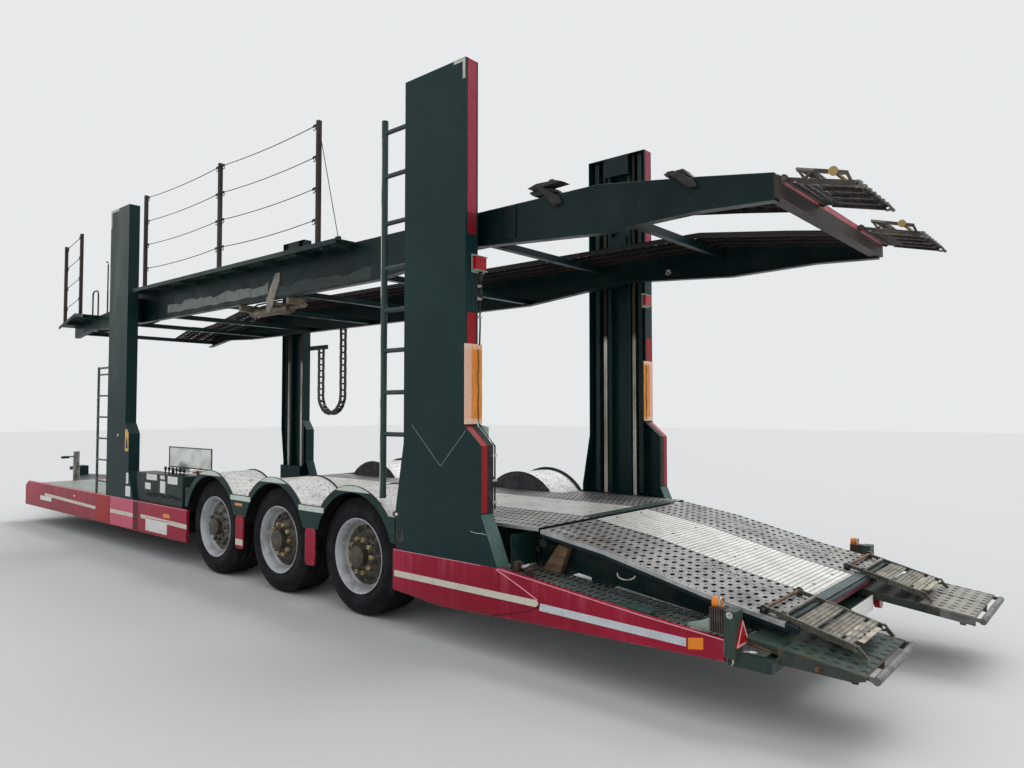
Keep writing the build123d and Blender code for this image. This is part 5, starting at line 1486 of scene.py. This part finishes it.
def conduit(form):
    points = [(rear_post_x - 0.008, 1.136, lamp_low - 0.012), (rear_post_x - 0.010, 1.132, 2.540),
              (rear_post_x - 0.009, 1.136, 2.380), (rear_post_x - 0.009, 1.134, 2.240),
              (rear_post_x - 0.008, 1.138, 2.100)]
    swept(form, points, 0.006)
    for z in (2.590, 2.470):
        turned(form, [(-0.03, core), (-0.03, 0.013), (0.0, 0.016), (0.03, 0.013), (0.03, core)],
               (rear_post_x - 0.012, 1.133, z), (0, 0, 1), 14)
    low_line = [(rear_post_x - 0.010, 1.142, wrap_low), (foot_x - 0.008, 1.142, knee_z - 0.135),
                (foot_x - 0.008, 1.142, 1.200), (foot_x - 0.008, 1.142, 0.960)]
    swept(form, low_line, 0.006)


shell("post_conduit", conduit, black_rubber, "root", smooth=True)


def conduit_clips(form):
    for x, y, z in ((rear_post_x, 1.136, 2.520), (rear_post_x, 1.136, 2.430), (rear_post_x, 1.136, 2.300),
                    (foot_x, 1.142, 1.330), (foot_x, 1.142, 1.160), (foot_x, 1.142, 1.010)):
        bar(form, (x - 0.018, y - 0.012, z - 0.008), (x + 0.002, y + 0.030, z + 0.008))


shell("post_conduit_clips", conduit_clips, ring_chrome, "root", 0.001)


def side_lamp_bracket(form):
    prism(form, [(1.046, 1.520), (1.150, 1.545), (1.150, 1.440), (1.090, 1.400), (1.046, 1.400)],
          rear_post_x - 0.012, rear_post_x - 0.008, axis=0)
    bar(form, (rear_post_x - 0.045, 1.046, 1.396), (rear_post_x - 0.008, 1.096, 1.400))


shell("low_post_lamp_bracket", side_lamp_bracket, bracket_green, "root")


def side_lamp(form):
    turned(form, [(0.0, core), (0.0, 0.026), (0.018, 0.026), (0.026, 0.018), (0.026, core)],
           (rear_post_x - 0.026, 1.072, 1.366), (-1, 0, 0), 24)


shell("low_post_lamp", side_lamp, amber_lens, "root", smooth=True)

# Small things on the posts' outer faces: welded seams, a chalky scrape, an oval lamp with a white centre, a
# black handle recess, blank labels, and a pale corner piece at the top.
seam_dark = film("seam_dark", (20, 36, 38), (54, 78, 74), 0.5, 0.6)
seam_pale = film("seam_pale", (112, 136, 130), (60, 84, 80), 0.5, 0.6)
fold_seam = [(-3.600, 1.533), (-3.908, 1.244), (-4.160, 1.505)]
stickers("post_fold_seams", [stripe(fold_seam[:2], 0.005), stripe(fold_seam[1:], 0.005)], seam_pale,
         thickness=0.0006)
stickers("post_low_seams", [stripe([(-3.440, 0.802), (-3.620, 0.778), (-4.340, 0.776)], 0.004)], seam_dark,
         thickness=0.0006)
stickers("post_scrapes",
         [stripe([(-4.200, 0.815), (-4.265, 0.808), (-4.310, 0.812), (-4.352, 0.806)], 0.003)], cream_tape,
         left_only, thickness=0.0005)
stickers("post_smear", [stripe([(-4.078, 1.601), (-4.146, 1.599)], 0.012)], seam_dark,
         left_only, thickness=0.0006)
cream_corner = film("cream_corner", (196, 198, 184), (128, 134, 124), 0.5, 0.6)
corner_pieces = [
    [(rear_post_x + 0.004, post_top - 0.004), (rear_post_x + 0.120, post_top - 0.004),
     (rear_post_x + 0.120, post_top - 0.026), (rear_post_x + 0.030, post_top - 0.026),
     (rear_post_x + 0.030, post_top - 0.150), (rear_post_x + 0.004, post_top - 0.150)],
    [(mast_front_x + 0.536, post_top - 0.004), (mast_front_x + 0.300, post_top - 0.004),
     (mast_front_x + 0.300, post_top - 0.028), (mast_front_x + 0.505, post_top - 0.028),
     (mast_front_x + 0.505, post_top - 0.220), (mast_front_x + 0.536, post_top - 0.220)],
]
stickers("post_corner_pieces", corner_pieces, cream_corner, thickness=0.0008)
oval = [(-3.440 + 0.050 * math.cos(turn), 0.862 + 0.024 * math.sin(turn))
        for turn in [2 * math.pi * k / 24 for k in range(24)]]
oval_core = [(-3.432 + 0.016 * math.cos(turn), 0.862 + 0.011 * math.sin(turn))
             for turn in [2 * math.pi * k / 16 for k in range(16)]]
stickers("post_oval_lamps", [oval], black_rubber, thickness=0.0012)
stickers("post_oval_lamp_cores", [oval_core], blank_white, thickness=0.0016)
recess = [(-3.520, 0.640), (-3.500, 0.620), (-3.432, 0.620), (-3.428, 0.640), (-3.428, 0.750),
          (-3.445, 0.770), (-3.500, 0.770), (-3.520, 0.750)]
stickers("post_recesses", [recess], black_rubber, thickness=0.0010)


def recess_handles(form):
    for side in (1, -1):
        y = side * (side_face - 0.0018)
        swept(form, [(-3.500, y, 0.745), (-3.500, y, 0.690), (-3.488, y, 0.672), (-3.460, y, 0.672),
                     (-3.448, y, 0.690), (-3.448, y, 0.712)], 0.0032)


shell("recess_handles", recess_handles, jack_zinc, "root", smooth=True)
label_yellow = film("label_yellow", (222, 176, 44), (150, 120, 60), 0.4, 0.3)
label_edge = film("label_edge", (214, 150, 142), (160, 110, 100), 0.4, 0.3)
dark_ink = film("dark_ink", (34, 34, 34), (70, 68, 62), 0.5, 0.3)
stickers("post_label_edge",
         [[(1.402, 1.160), (1.500, 1.160), (1.500, 1.420), (1.440, 1.420), (1.402, 1.374)]], label_edge,
         left_only, thickness=0.0006)
stickers("post_label", [[(1.408, 1.168), (1.494, 1.168), (1.494, 1.412), (1.446, 1.412), (1.408, 1.370)]],
         label_yellow, left_only, thickness=0.0008)
stickers("post_label_sign",
         [[(1.420, 1.195), (1.482, 1.195), (1.470, 1.290), (1.448, 1.335), (1.430, 1.280)]], dark_ink,
         left_only, thickness=0.0010)
stickers("post_white_labels", [band(1.386, 1.448, 0.780, 0.908), band(1.325, 1.460, 0.634, 0.752),
                               band(1.700, 1.728, 1.330, 1.362)], blank_white, left_only,
         thickness=0.0010)

# Inside the posts: folded guide channels beside the rails, a top plate that holds the rods, and four bright
# screwed rods that are greased brown low down.
guide_green = worn_paint("guide_green", (20, 38, 40), (44, 60, 58), (110, 96, 80), wear=0.8)


def inner_channels(form):
    for start, length, reach in ((rear_post_x, 0.640, 0.245), (mast_front_x, 0.540, 0.225)):
        middle = start + length / 2
        for side in (1, -1):
            for step in (-1, 1):
                x = middle + step * reach
                y = span(side, 1.196, 1.266)
                bar(form, (x - 0.014, y[0], 0.860), (x + 0.014, y[1], post_top - 0.010))
                tip = span(side, 1.190, 1.198)
                bar(form, (x - 0.022, tip[0], 0.860), (x + 0.022, tip[1], post_top - 0.010))
            top = span(side, 1.152, 1.160)
            bar(form, (middle - 0.135, top[0], post_top - 0.190), (middle + 0.135, top[1], post_top - 0.006))


shell("post_inner_channels", inner_channels, guide_green, "root")
rod_finish = finish("bright_rod", 0.28, 0.9)
greasy = patches(3.0, 0.38, 0.62, stretch=(1, 1, 0.3), detail=6.0)
rod_tone = tint(greasy, (214, 212, 206), (150, 142, 130))
grease_mark = fade(along(2), 2.30, 2.38)
rod_tone = tint(grease_mark, rod_tone, tint(greasy, (44, 42, 40), (78, 68, 58)))
paint(rod_tone)
threads = add(tree, "ShaderNodeTexWave", {"Vector": coords, "Scale": 40.0}, bands_direction="Z")
relief(threads.outputs["Fac"], 0.35, 0.002)
dress(rod_finish, "lift_rods")

# Valve box: a green sheet steel box ahead of the front wheel, with a row of small levers and a clear cover
# hinged behind them. Blank white labels are stuck on its face.
dress(green_paint, "valve_box")
lever_black = finish("lever_black", 0.35)
paint(tint(patches(20.0, 0.4, 0.7), (18, 18, 19), (60, 58, 56)))
valve_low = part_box("valve_box")[0]
lever_x = valve_low[0] + 0.180
lever_y = 1.1404


def lever_grips(form):
    for step in range(6):
        x = lever_x + step * 0.090
        turned(form, [(-0.020, core), (-0.020, 0.010), (-0.004, 0.015), (0.010, 0.016), (0.020, 0.011),
                      (0.025, core)], (x, lever_y, 0.986), (0, 0, 1), 14)


shell("lever_grips", lever_grips, lever_black, "root", smooth=True)
valve_face = 1.240
valve_labels = [band(0.707, 0.971, 0.856, 0.922), band(0.515, 0.620, 0.880, 0.920),
                band(0.206, 0.438, 0.840, 0.922), band(0.864, 1.008, 0.748, 0.820),
                band(0.497, 0.623, 0.728, 0.860)]
stickers("valve_labels", valve_labels, blank_white, left_only, valve_face, 0.0012)


def tilted_box(form):
    prism(form, [(0.560, 0.936), (0.760, 0.936), (0.700, 1.060), (0.585, 1.030)], 0.930, 0.985)


pale_box = film("pale_box", (170, 176, 170), (112, 116, 108), 0.5, 0.5)
shell("valve_gauge_box", tilted_box, pale_box, "root", 0.004)
clear = finish("clear_sheet", 0.16)
paint(tint(patches(7.0, 0.4, 0.7, detail=8.0), (228, 232, 228), (190, 192, 184)))
shader.inputs["Transmission Weight"].default_value = 0.85
dress(clear, "valve_cover")
cover_low, cover_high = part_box("valve_cover")


def cover_edges(form):
    x0, x1 = cover_low[0] + 0.001, cover_high[0] - 0.001
    z0, z1 = cover_high[2] - 0.234, cover_high[2]
    y0, y1 = cover_low[1] + 0.0005, cover_high[1] - 0.0005
    for x in (x0, x1 - 0.012):
        bar(form, (x, y0, z0), (x + 0.012, y1, z1))
    for z in (z0, z1 - 0.012):
        bar(form, (x0, y0, z), (x1, y1, z + 0.012))


shell("valve_cover_edges", cover_edges, lever_black, "valve_cover")


def pipe_bundle(form):
    for step in range(5):
        x = 0.16 + step * 0.17
        z = 0.700 + 0.012 * (step % 2)
        swept(form, [(x, valve_face - 0.004, z), (x, valve_face + 0.012, z),
                     (x + 0.05, valve_face + 0.022, z - 0.03), (x + 0.10, valve_face + 0.012, z),
                     (x + 0.10, valve_face - 0.004, z)], 0.006)


shell("valve_pipe_elbows", pipe_bundle, black_rubber, "root", smooth=True)

# Ladders: round tube in dark green, its paint worn pale on the edges and rungs where boots and hands go.
# Its upward faces are painted lighter in patches as a painted highlight.
ladder_paint = finish("ladder_paint", 0.45)
ladder_tone = tint(patches(6.0, 0.4, 0.7), (20, 44, 44), (40, 64, 60))
rung_wear = patches(20.0, 0.48, 0.60, 0.0, 0.7, stretch=(1, 1, 2))
in_front = fade(along(0), 0.0, 1.0)
rail_x = product(work_out("ADD", along(0), 3.200), 0.757)
rail_y = product(work_out("SUBTRACT", along(1), 1.215), 0.653)
front_side = work_out("ADD", rail_x, rail_y)
pale_side = product(product(fade(front_side, 0.0175, 0.0190), fade(front_side, 0.040, 0.038)),
                    patches(14.0, 0.40, 0.52, stretch=(1, 1, 0.3)))
ladder_tone = tint(product(rung_wear, in_front), ladder_tone, (128, 118, 100))
# Painted highlight: upward faces are painted lighter in patches, as if lit from the sky.
painted_top_highlight = fade(along(2, normal=True), 0.55, 0.85, 0.0, 0.6)
ladder_tone = tint(product(painted_top_highlight, patches(25.0, 0.42, 0.55)), ladder_tone, (120, 134, 128))
ladder_tone = tint(pale_side, ladder_tone, (206, 210, 202))
paint(ladder_tone)
relief(cloud(60.0), 0.2, 0.001)
dress(ladder_paint, "ladders")

# Upper deck: two cranked side beams of welded plate with cross members, in dark green. A light grey band
# with a wavy upper edge is painted along the left beam's face: painted light where the face is lit below the
# walkway's shadow. Plate edges stand up on the beam near the rear post.
beam_paint = worn_paint("beam_paint", (6, 26, 28), (14, 38, 38), (74, 76, 70), dust=0.10)
dress(beam_paint, "upper_beams", "upper_cross_members", "deck_carriers")
# Painted light: a pale band where the beam's face is lit below the walkway's shadow, and a dimmer one
# further back.
pale_painted_light_film = film("pale_painted_light", (128, 132, 128), (84, 88, 84), 0.7, 0.7)
dim_painted_light = film("dim_painted_light", (60, 66, 66), (40, 48, 48), 0.7, 0.8)
beam_face = 1.030


def painted_light_band(name, x_from, x_to, low, high, steps, material):
    """A band of painted light along the left beam's face, with a wavy upper edge."""
    top, bottom = [], []
    for step in range(steps + 1):
        x = x_from + (x_to - x_from) * step / steps
        wave = 0.010 * math.sin(step * 1.1) + 0.007 * math.sin(step * 2.3 + 1)
        jump = 0.018 * ((step // 6) % 2)
        top.append((x, high - 0.02 + wave + jump))
        bottom.append((x, low + wave * 0.5))
    shell(name, lambda form: prism(form, top + list(reversed(bottom)), beam_face - 0.0002,
                                   beam_face + 0.0006), material, "upper_deck")


painted_light_band("beam_painted_light_band", 0.98, -1.20, 2.785, 2.895, 30, pale_painted_light_film)
painted_light_band("beam_rear_painted_light_band", -1.22, -2.80, 2.745, 2.850, 20, dim_painted_light)


def beam_plates(form):
    for x in (-4.270, -4.400):
        bar(form, (x - 0.006, beam_face - 0.002, 2.857), (x + 0.006, beam_face + 0.010, 3.082))
    bar(form, (-4.400, beam_face - 0.002, 2.857), (-4.270, beam_face + 0.003, 2.868))


shell("beam_plate_edges", beam_plates, beam_paint, "upper_deck")
upper_rear_x = rear_post_x - 2.08
upper_front_x = rear_post_x + 8.07
upper_top = [(upper_rear_x, 2.920), (rear_post_x - 1.630, 2.990), (rear_post_x - 0.935, 3.085),
             (rear_post_x + 6.000, 3.100), (rear_post_x + 6.810, 2.960), (rear_post_x + 7.170, 2.930),
             (rear_post_x + 7.470, 2.970), (upper_front_x, 2.830)]


def edge_line(form):
    for side in (1, -1):
        y = span(side, beam_face - 0.028, beam_face + 0.0004)
        line = [(x, z + 0.0012) for x, z in upper_top]
        follow(form, line, 0.002, *y)


worn_edge_paint = worn_paint("worn_edge_paint", (52, 68, 66), (92, 104, 100), (150, 150, 140), wear=0.9)
shell("beam_top_edges", edge_line, worn_edge_paint, "upper_deck")

# Upper wheel tracks: dark sheet with long holes, a lip towards the middle, and three ribs underneath.
track_dark = worn_paint("track_dark", (26, 26, 28), (48, 42, 40), (110, 84, 66), 0.6, 0.3, 0.8, (74, 62, 54))
track_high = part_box("upper_tracks")[1]
track_drop = 0.045
panel_gap = 0.001
track_line = [(x, z - track_drop) for x, z in upper_top]
track_y = (0.400, track_high[1])
rib_lines = [track_y[0] + step * (track_y[1] - track_y[0]) / 4 for step in (1, 2, 3)]
parts = []
for y in mirrored(*track_y):
    for (x0, z0), (x1, z1) in zip(track_line, track_line[1:]):
        panel = [(x0, z0), (x1, z1)]
        ends = [(x, height_of(panel, x)) for x in (x0 + panel_gap, x1 - panel_gap)]
        parts.append(plank("plank", (ends[0][0], ends[1][0]), y, panel, track_dark, "upper_deck",
                           (0.090, 0.088), (0.030, 0.050), None))

        def ribs_and_lip(form):
            side = 1 if y[1] > 0 else -1
            for rib in rib_lines:
                low_y, high_y = span(side, rib - 0.005, rib + 0.005)
                follow(form, [(x, z - 0.005) for x, z in ends], 0.029, low_y, high_y)
            low_y, high_y = span(side, track_y[0], track_y[0] + 0.008)
            follow(form, ends, 0.040, low_y, high_y)

        parts.append(shell("ribs", ribs_and_lip, track_dark, "upper_deck"))
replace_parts(joined("upper_track_planks", *parts), "upper_tracks")

# Walkway: dark green sheet on brackets outside the left beam, with small close holes and a bright edge.
walk_green = worn_paint("walk_green", (20, 40, 40), (44, 62, 58), (120, 122, 112), wear=0.8)
walk_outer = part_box("walkway")[1][1]
walk_edge = walk_outer - 0.008
bracket_pitch = 0.560
walk_spans = [(rear_post_x + 1.56, mast_front_x - 0.04), (rear_post_x + 7.17, upper_front_x)]
parts = []
for x_from, x_to in walk_spans:
    stations = [point for point in upper_top if x_from < point[0] < x_to]
    line = [(x_from, height_of(upper_top, x_from))] + stations + [(x_to, height_of(upper_top, x_to))]
    parts.append(plank("plank", (x_from, x_to), (beam_face, walk_edge), line, walk_green, "upper_deck",
                       (0.040, 0.034), (0.017, 0.017), None))

    def rim_and_ribs(form):
        follow(form, line, 0.040, walk_edge, walk_outer)
        for step in range(int((x_to - x_from) / bracket_pitch) + 1):
            x = x_from + 0.060 + step * bracket_pitch
            z = height_of(line, x)
            bar(form, (x - 0.004, beam_face, z - 0.060), (x + 0.004, walk_edge, z - 0.006))

    parts.append(shell("rim", rim_and_ribs, walk_green, "upper_deck"))
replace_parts(joined("walkway_planks", *parts), "walkway")

# Rope fence: square posts in dark brown primer, thin steel ropes that hang slightly between them, and a
# small hook at each end of each rope. A stay runs down from the last post, and hoops stand near the front.
fence_brown = worn_paint("fence_brown", (44, 40, 38), (66, 60, 54), (120, 108, 92), 0.55)
dress(fence_brown, "fence_posts")
rope_dark = rusty_metal("rope_dark", (62, 60, 58), (40, 38, 38), 60.0, 0.5, 0.5)
fence_y = 1.200
fence_half = 0.018
fence_xs = [rear_post_x + s for s in (1.87, 3.60, 5.36)]
front_fence_xs = [rear_post_x + s for s in (7.38, 7.95)]
rope_heights = (0.22, 0.50, 0.78, 1.06)
rope_ends = []
for start_x, end_x in ((fence_xs[0], fence_xs[1]), (fence_xs[1], fence_xs[2]),
                       (front_fence_xs[0], front_fence_xs[1])):
    for up in rope_heights:
        rope_ends.append(((start_x + fence_half, height_of(upper_top, start_x) + up),
                          (end_x - fence_half, height_of(upper_top, end_x) + up)))


def rope_forms(form):
    for (x0, z0), (x1, z1) in rope_ends:
        sag = 0.014 * (x1 - x0)
        points = []
        for step in range(15):
            t = step / 14
            points.append((x0 + (x1 - x0) * t, fence_y, z0 + (z1 - z0) * t - sag * 4 * t * (1 - t)))
        swept(form, points, 0.0042, 6)


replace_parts(shell("fence_rope_runs", rope_forms, rope_dark, "upper_deck", smooth=True),
            "fence_ropes")


def rope_hooks(form):
    for (x0, z0), (x1, z1) in rope_ends:
        for x, z, way in ((x0, z0, 1), (x1, z1, -1)):
            turned(form, [(0.0, core), (0.0, 0.008), (0.012, 0.012), (0.055, 0.012), (0.070, 0.006),
                          (0.070, core)], (x, fence_y, z), (way, 0, 0), 8)
            loop = arc((x + way * 0.050, z - 0.022), 0.018, 20, 330, 8)
            swept(form, [(px, fence_y, pz) for px, pz in loop], 0.004, 6)


shell("fence_rope_hooks", rope_hooks, rope_dark, "upper_deck", smooth=True)


def fence_extras(form):
    stay_top = (fence_xs[0] - 0.016, fence_y, height_of(upper_top, fence_xs[0]) + 0.98)
    stay_foot = (-2.560, fence_y - 0.010, height_of(upper_top, -2.560) + 0.012)
    swept(form, [stay_top, stay_foot], 0.0035, 6)
    bar(form, (-2.585, fence_y - 0.024, stay_foot[2] - 0.014),
        (-2.535, fence_y + 0.004, stay_foot[2] + 0.012))
    hoop_y = 1.010
    hoop_z = 3.230
    hoop = [(rear_post_x + 7.29, hoop_y, hoop_z - 0.02), (rear_post_x + 7.30, hoop_y, hoop_z + 0.030),
            (rear_post_x + 7.34, hoop_y, hoop_z + 0.060), (rear_post_x + 7.43, hoop_y, hoop_z + 0.060),
            (rear_post_x + 7.47, hoop_y, hoop_z + 0.040), (rear_post_x + 7.48, hoop_y, hoop_z - 0.02)]
    swept(form, hoop, 0.010)
    rod_x = rear_post_x + 6.97
    swept(form, [(rod_x, hoop_y, 3.220), (rod_x, hoop_y, 3.600), (rod_x + 0.015, hoop_y, 3.640),
                 (rod_x + 0.060, hoop_y, 3.650)], 0.009)


shell("fence_stay_and_hoops", fence_extras, fence_brown, "upper_deck", smooth=True)

# Levelling cylinder: a brownish hydraulic cylinder under the left track, with its plated rod and a bare
# steel lever outside the beam.
cylinder_finish = finish("cylinder_steel", 0.45, 0.3)
cylinder_tone = tint(patches(9.0, 0.4, 0.65, detail=7.0), (134, 120, 104), (76, 62, 52))
lever_tone = tint(patches(12.0, 0.4, 0.7), (150, 144, 132), (104, 98, 88))
outside = fade(along(1), beam_face - 0.001, beam_face + 0.0005)
paint(tint(outside, cylinder_tone, lever_tone))
relief(cloud(60.0), 0.3, 0.0015)
dress(cylinder_finish, "deck_cylinder")


def cylinder_pipes(form):
    for step, drop in ((0, 0.058), (1, 0.072)):
        y = 0.830 + (step - 0.5) * 0.05
        swept(form, [(-1.250, y, 2.668 + drop), (-1.100, y, 2.676 + drop), (-0.700, y, 2.672 + drop),
                     (-0.620, y, 2.640 + drop)], 0.008)


shell("cylinder_pipes", cylinder_pipes, black_rubber, "upper_deck", smooth=True)

# Energy chain: moulded black links with a flat cross bar each, dusty on their edges.
black_plastic = finish("black_plastic", 0.5)
chain_dust = patches(12.0, 0.45, 0.75, 0.0, 0.6, detail=7.0)
chain_tone = tint(chain_dust, (22, 22, 24), (74, 72, 68))
chain_edges = product(edges(0.004), patches(40.0, 0.4, 0.6, 0.0, 0.5))
paint(tint(chain_edges, chain_tone, (104, 102, 98)))
relief(cloud(80.0), 0.2, 0.001)
dress(black_plastic, "energy_chain")

# Rear end of the upper deck: an end beam with the ramps' ears, in grey-brown old paint, with a faded pink
# reflective strip along its rear face.
end_paint = worn_paint("end_beam_paint", (48, 44, 42), (70, 62, 58), (126, 106, 88), 0.55)
dress(end_paint, "upper_ramp_ears")
faded_strip = film("faded_strip", (176, 84, 92), (122, 52, 60), 0.5, 0.7)


def end_strip(form):
    for y_from, y_to in ((-1.020, -0.460), (-0.450, 0.450), (0.460, 1.020)):
        bar(form, (upper_rear_x - 0.0252, y_from, 2.868), (upper_rear_x - 0.0238, y_to, 2.900))


shell("end_beam_strip", end_strip, faded_strip, "upper_deck")

# Upper ramps: hinged frames of flat bar with a lid plate, ribs, a punched grate and a brass-coloured roller
# near the tip. Dark old paint, its edges painted pale: partly worn paint, partly a painted highlight.
ramp_dark = finish("upper_ramp_paint", 0.55, 0.2)
dark_tone = tint(patches(8.0, 0.42, 0.66, detail=8.0), (44, 40, 40), (86, 74, 62))
lid_tone = tint(patches(7.0, 0.4, 0.7), (138, 130, 118), (96, 84, 72))
ramp_x = along(0)
ramp_z = along(2)
lid_height = work_out("SUBTRACT", ramp_z, fade(ramp_x, -6.598, -6.338, 2.846, 2.918))
on_lid = product(fade(lid_height, 0.0, 0.002), fade(ramp_x, -6.430, -6.424))
ramp_tone = tint(on_lid, dark_tone, lid_tone)
roller = (-6.525, 2.874)
reach_x = work_out("POWER", work_out("SUBTRACT", ramp_x, roller[0]), 2.0)
reach_z = work_out("POWER", work_out("SUBTRACT", ramp_z, roller[1]), 2.0)
on_roller = fade(work_out("ADD", reach_x, reach_z), 0.00068, 0.00060)
ramp_tone = tint(on_roller, ramp_tone, (168, 138, 78))
on_teeth = fade(ramp_x, -6.630, -6.634)
ramp_tone = tint(on_teeth, ramp_tone, (100, 96, 90))
# The edges are painted pale: partly worn paint, partly a painted highlight.
worn_and_highlit_edges = product(edges(0.005), patches(24.0, 0.42, 0.56, 0.0, 0.8))
paint(tint(worn_and_highlit_edges, ramp_tone, (180, 178, 168)))
relief(cloud(50.0, detail=5.0), 0.3, 0.0015)
dress(ramp_dark, "upper_ramp_left", "upper_ramp_right")
upper_hinge = (rear_post_x - 2.128, 2.880)
upper_tip = (rear_post_x - 2.510, 2.797)
grate_pitch = (0.040, 0.036)
grate_hole = (0.020, 0.020)
grate_line = [(upper_tip[0] + 0.012, upper_tip[1] - 0.010), (upper_hinge[0] - 0.030, upper_hinge[1] - 0.020)]
for hand, side in (("left", 1), ("right", -1)):
    plank("upper_ramp_grate_" + hand, (grate_line[0][0], grate_line[1][0]), span(side, 0.418, 0.987),
          grate_line, track_dark, "upper_ramp_" + hand, grate_pitch, grate_hole, None, 0.003)

# Wedges and a round reflector on the upper deck: two dark steel chocks on the left beam, brown on top.
chock_grey = rusty_metal("chock_grey", (50, 50, 52), (34, 32, 32), 16.0, 0.7, 0.2)


def chocks(form):
    chock_side, chock_back = (1.0308, 1.058), (0.950, 1.0300)
    prism(form, [(-4.820, 3.014), (-4.790, 3.064), (-4.660, 3.150), (-4.600, 3.154), (-4.680, 3.086),
                 (-4.750, 3.004)], *chock_side)
    prism(form, [(-4.780, 3.098), (-4.560, 3.110), (-4.520, 3.140), (-4.620, 3.164), (-4.740, 3.130)],
          *chock_back)
    prism(form, [(-5.790, 2.930), (-5.760, 2.980), (-5.640, 3.052), (-5.590, 3.052), (-5.650, 3.000),
                 (-5.740, 2.930)], *chock_side)
    prism(form, [(-5.740, 3.004), (-5.580, 3.030), (-5.560, 3.054), (-5.690, 3.060)], *chock_back)


shell("deck_chocks", chocks, chock_grey, "upper_deck", 0.004)


def chock_tops(form):
    prism(form, [(-4.820, 3.160), (-4.560, 3.150), (-4.520, 3.166), (-4.600, 3.186), (-4.760, 3.180)],
          0.950, 1.050)
    prism(form, [(-4.730, 3.176), (-4.660, 3.178), (-4.680, 3.205), (-4.710, 3.208)], 0.970, 1.010)


chock_brown = rusty_metal("chock_brown", (74, 62, 56), (48, 42, 40), 22.0, 0.75, 0.2)
shell("chock_rust", chock_tops, chock_brown, "upper_deck", 0.003)


def round_reflector(form):
    turned(form, [(0.0, core), (0.0, 0.030), (0.004, 0.030), (0.006, 0.024), (0.006, core)],
           (-4.470, -(beam_face - 0.011), 2.890), (0, 1, 0), 24)


shell("beam_reflector", round_reflector, ring_chrome, "upper_deck", smooth=True)
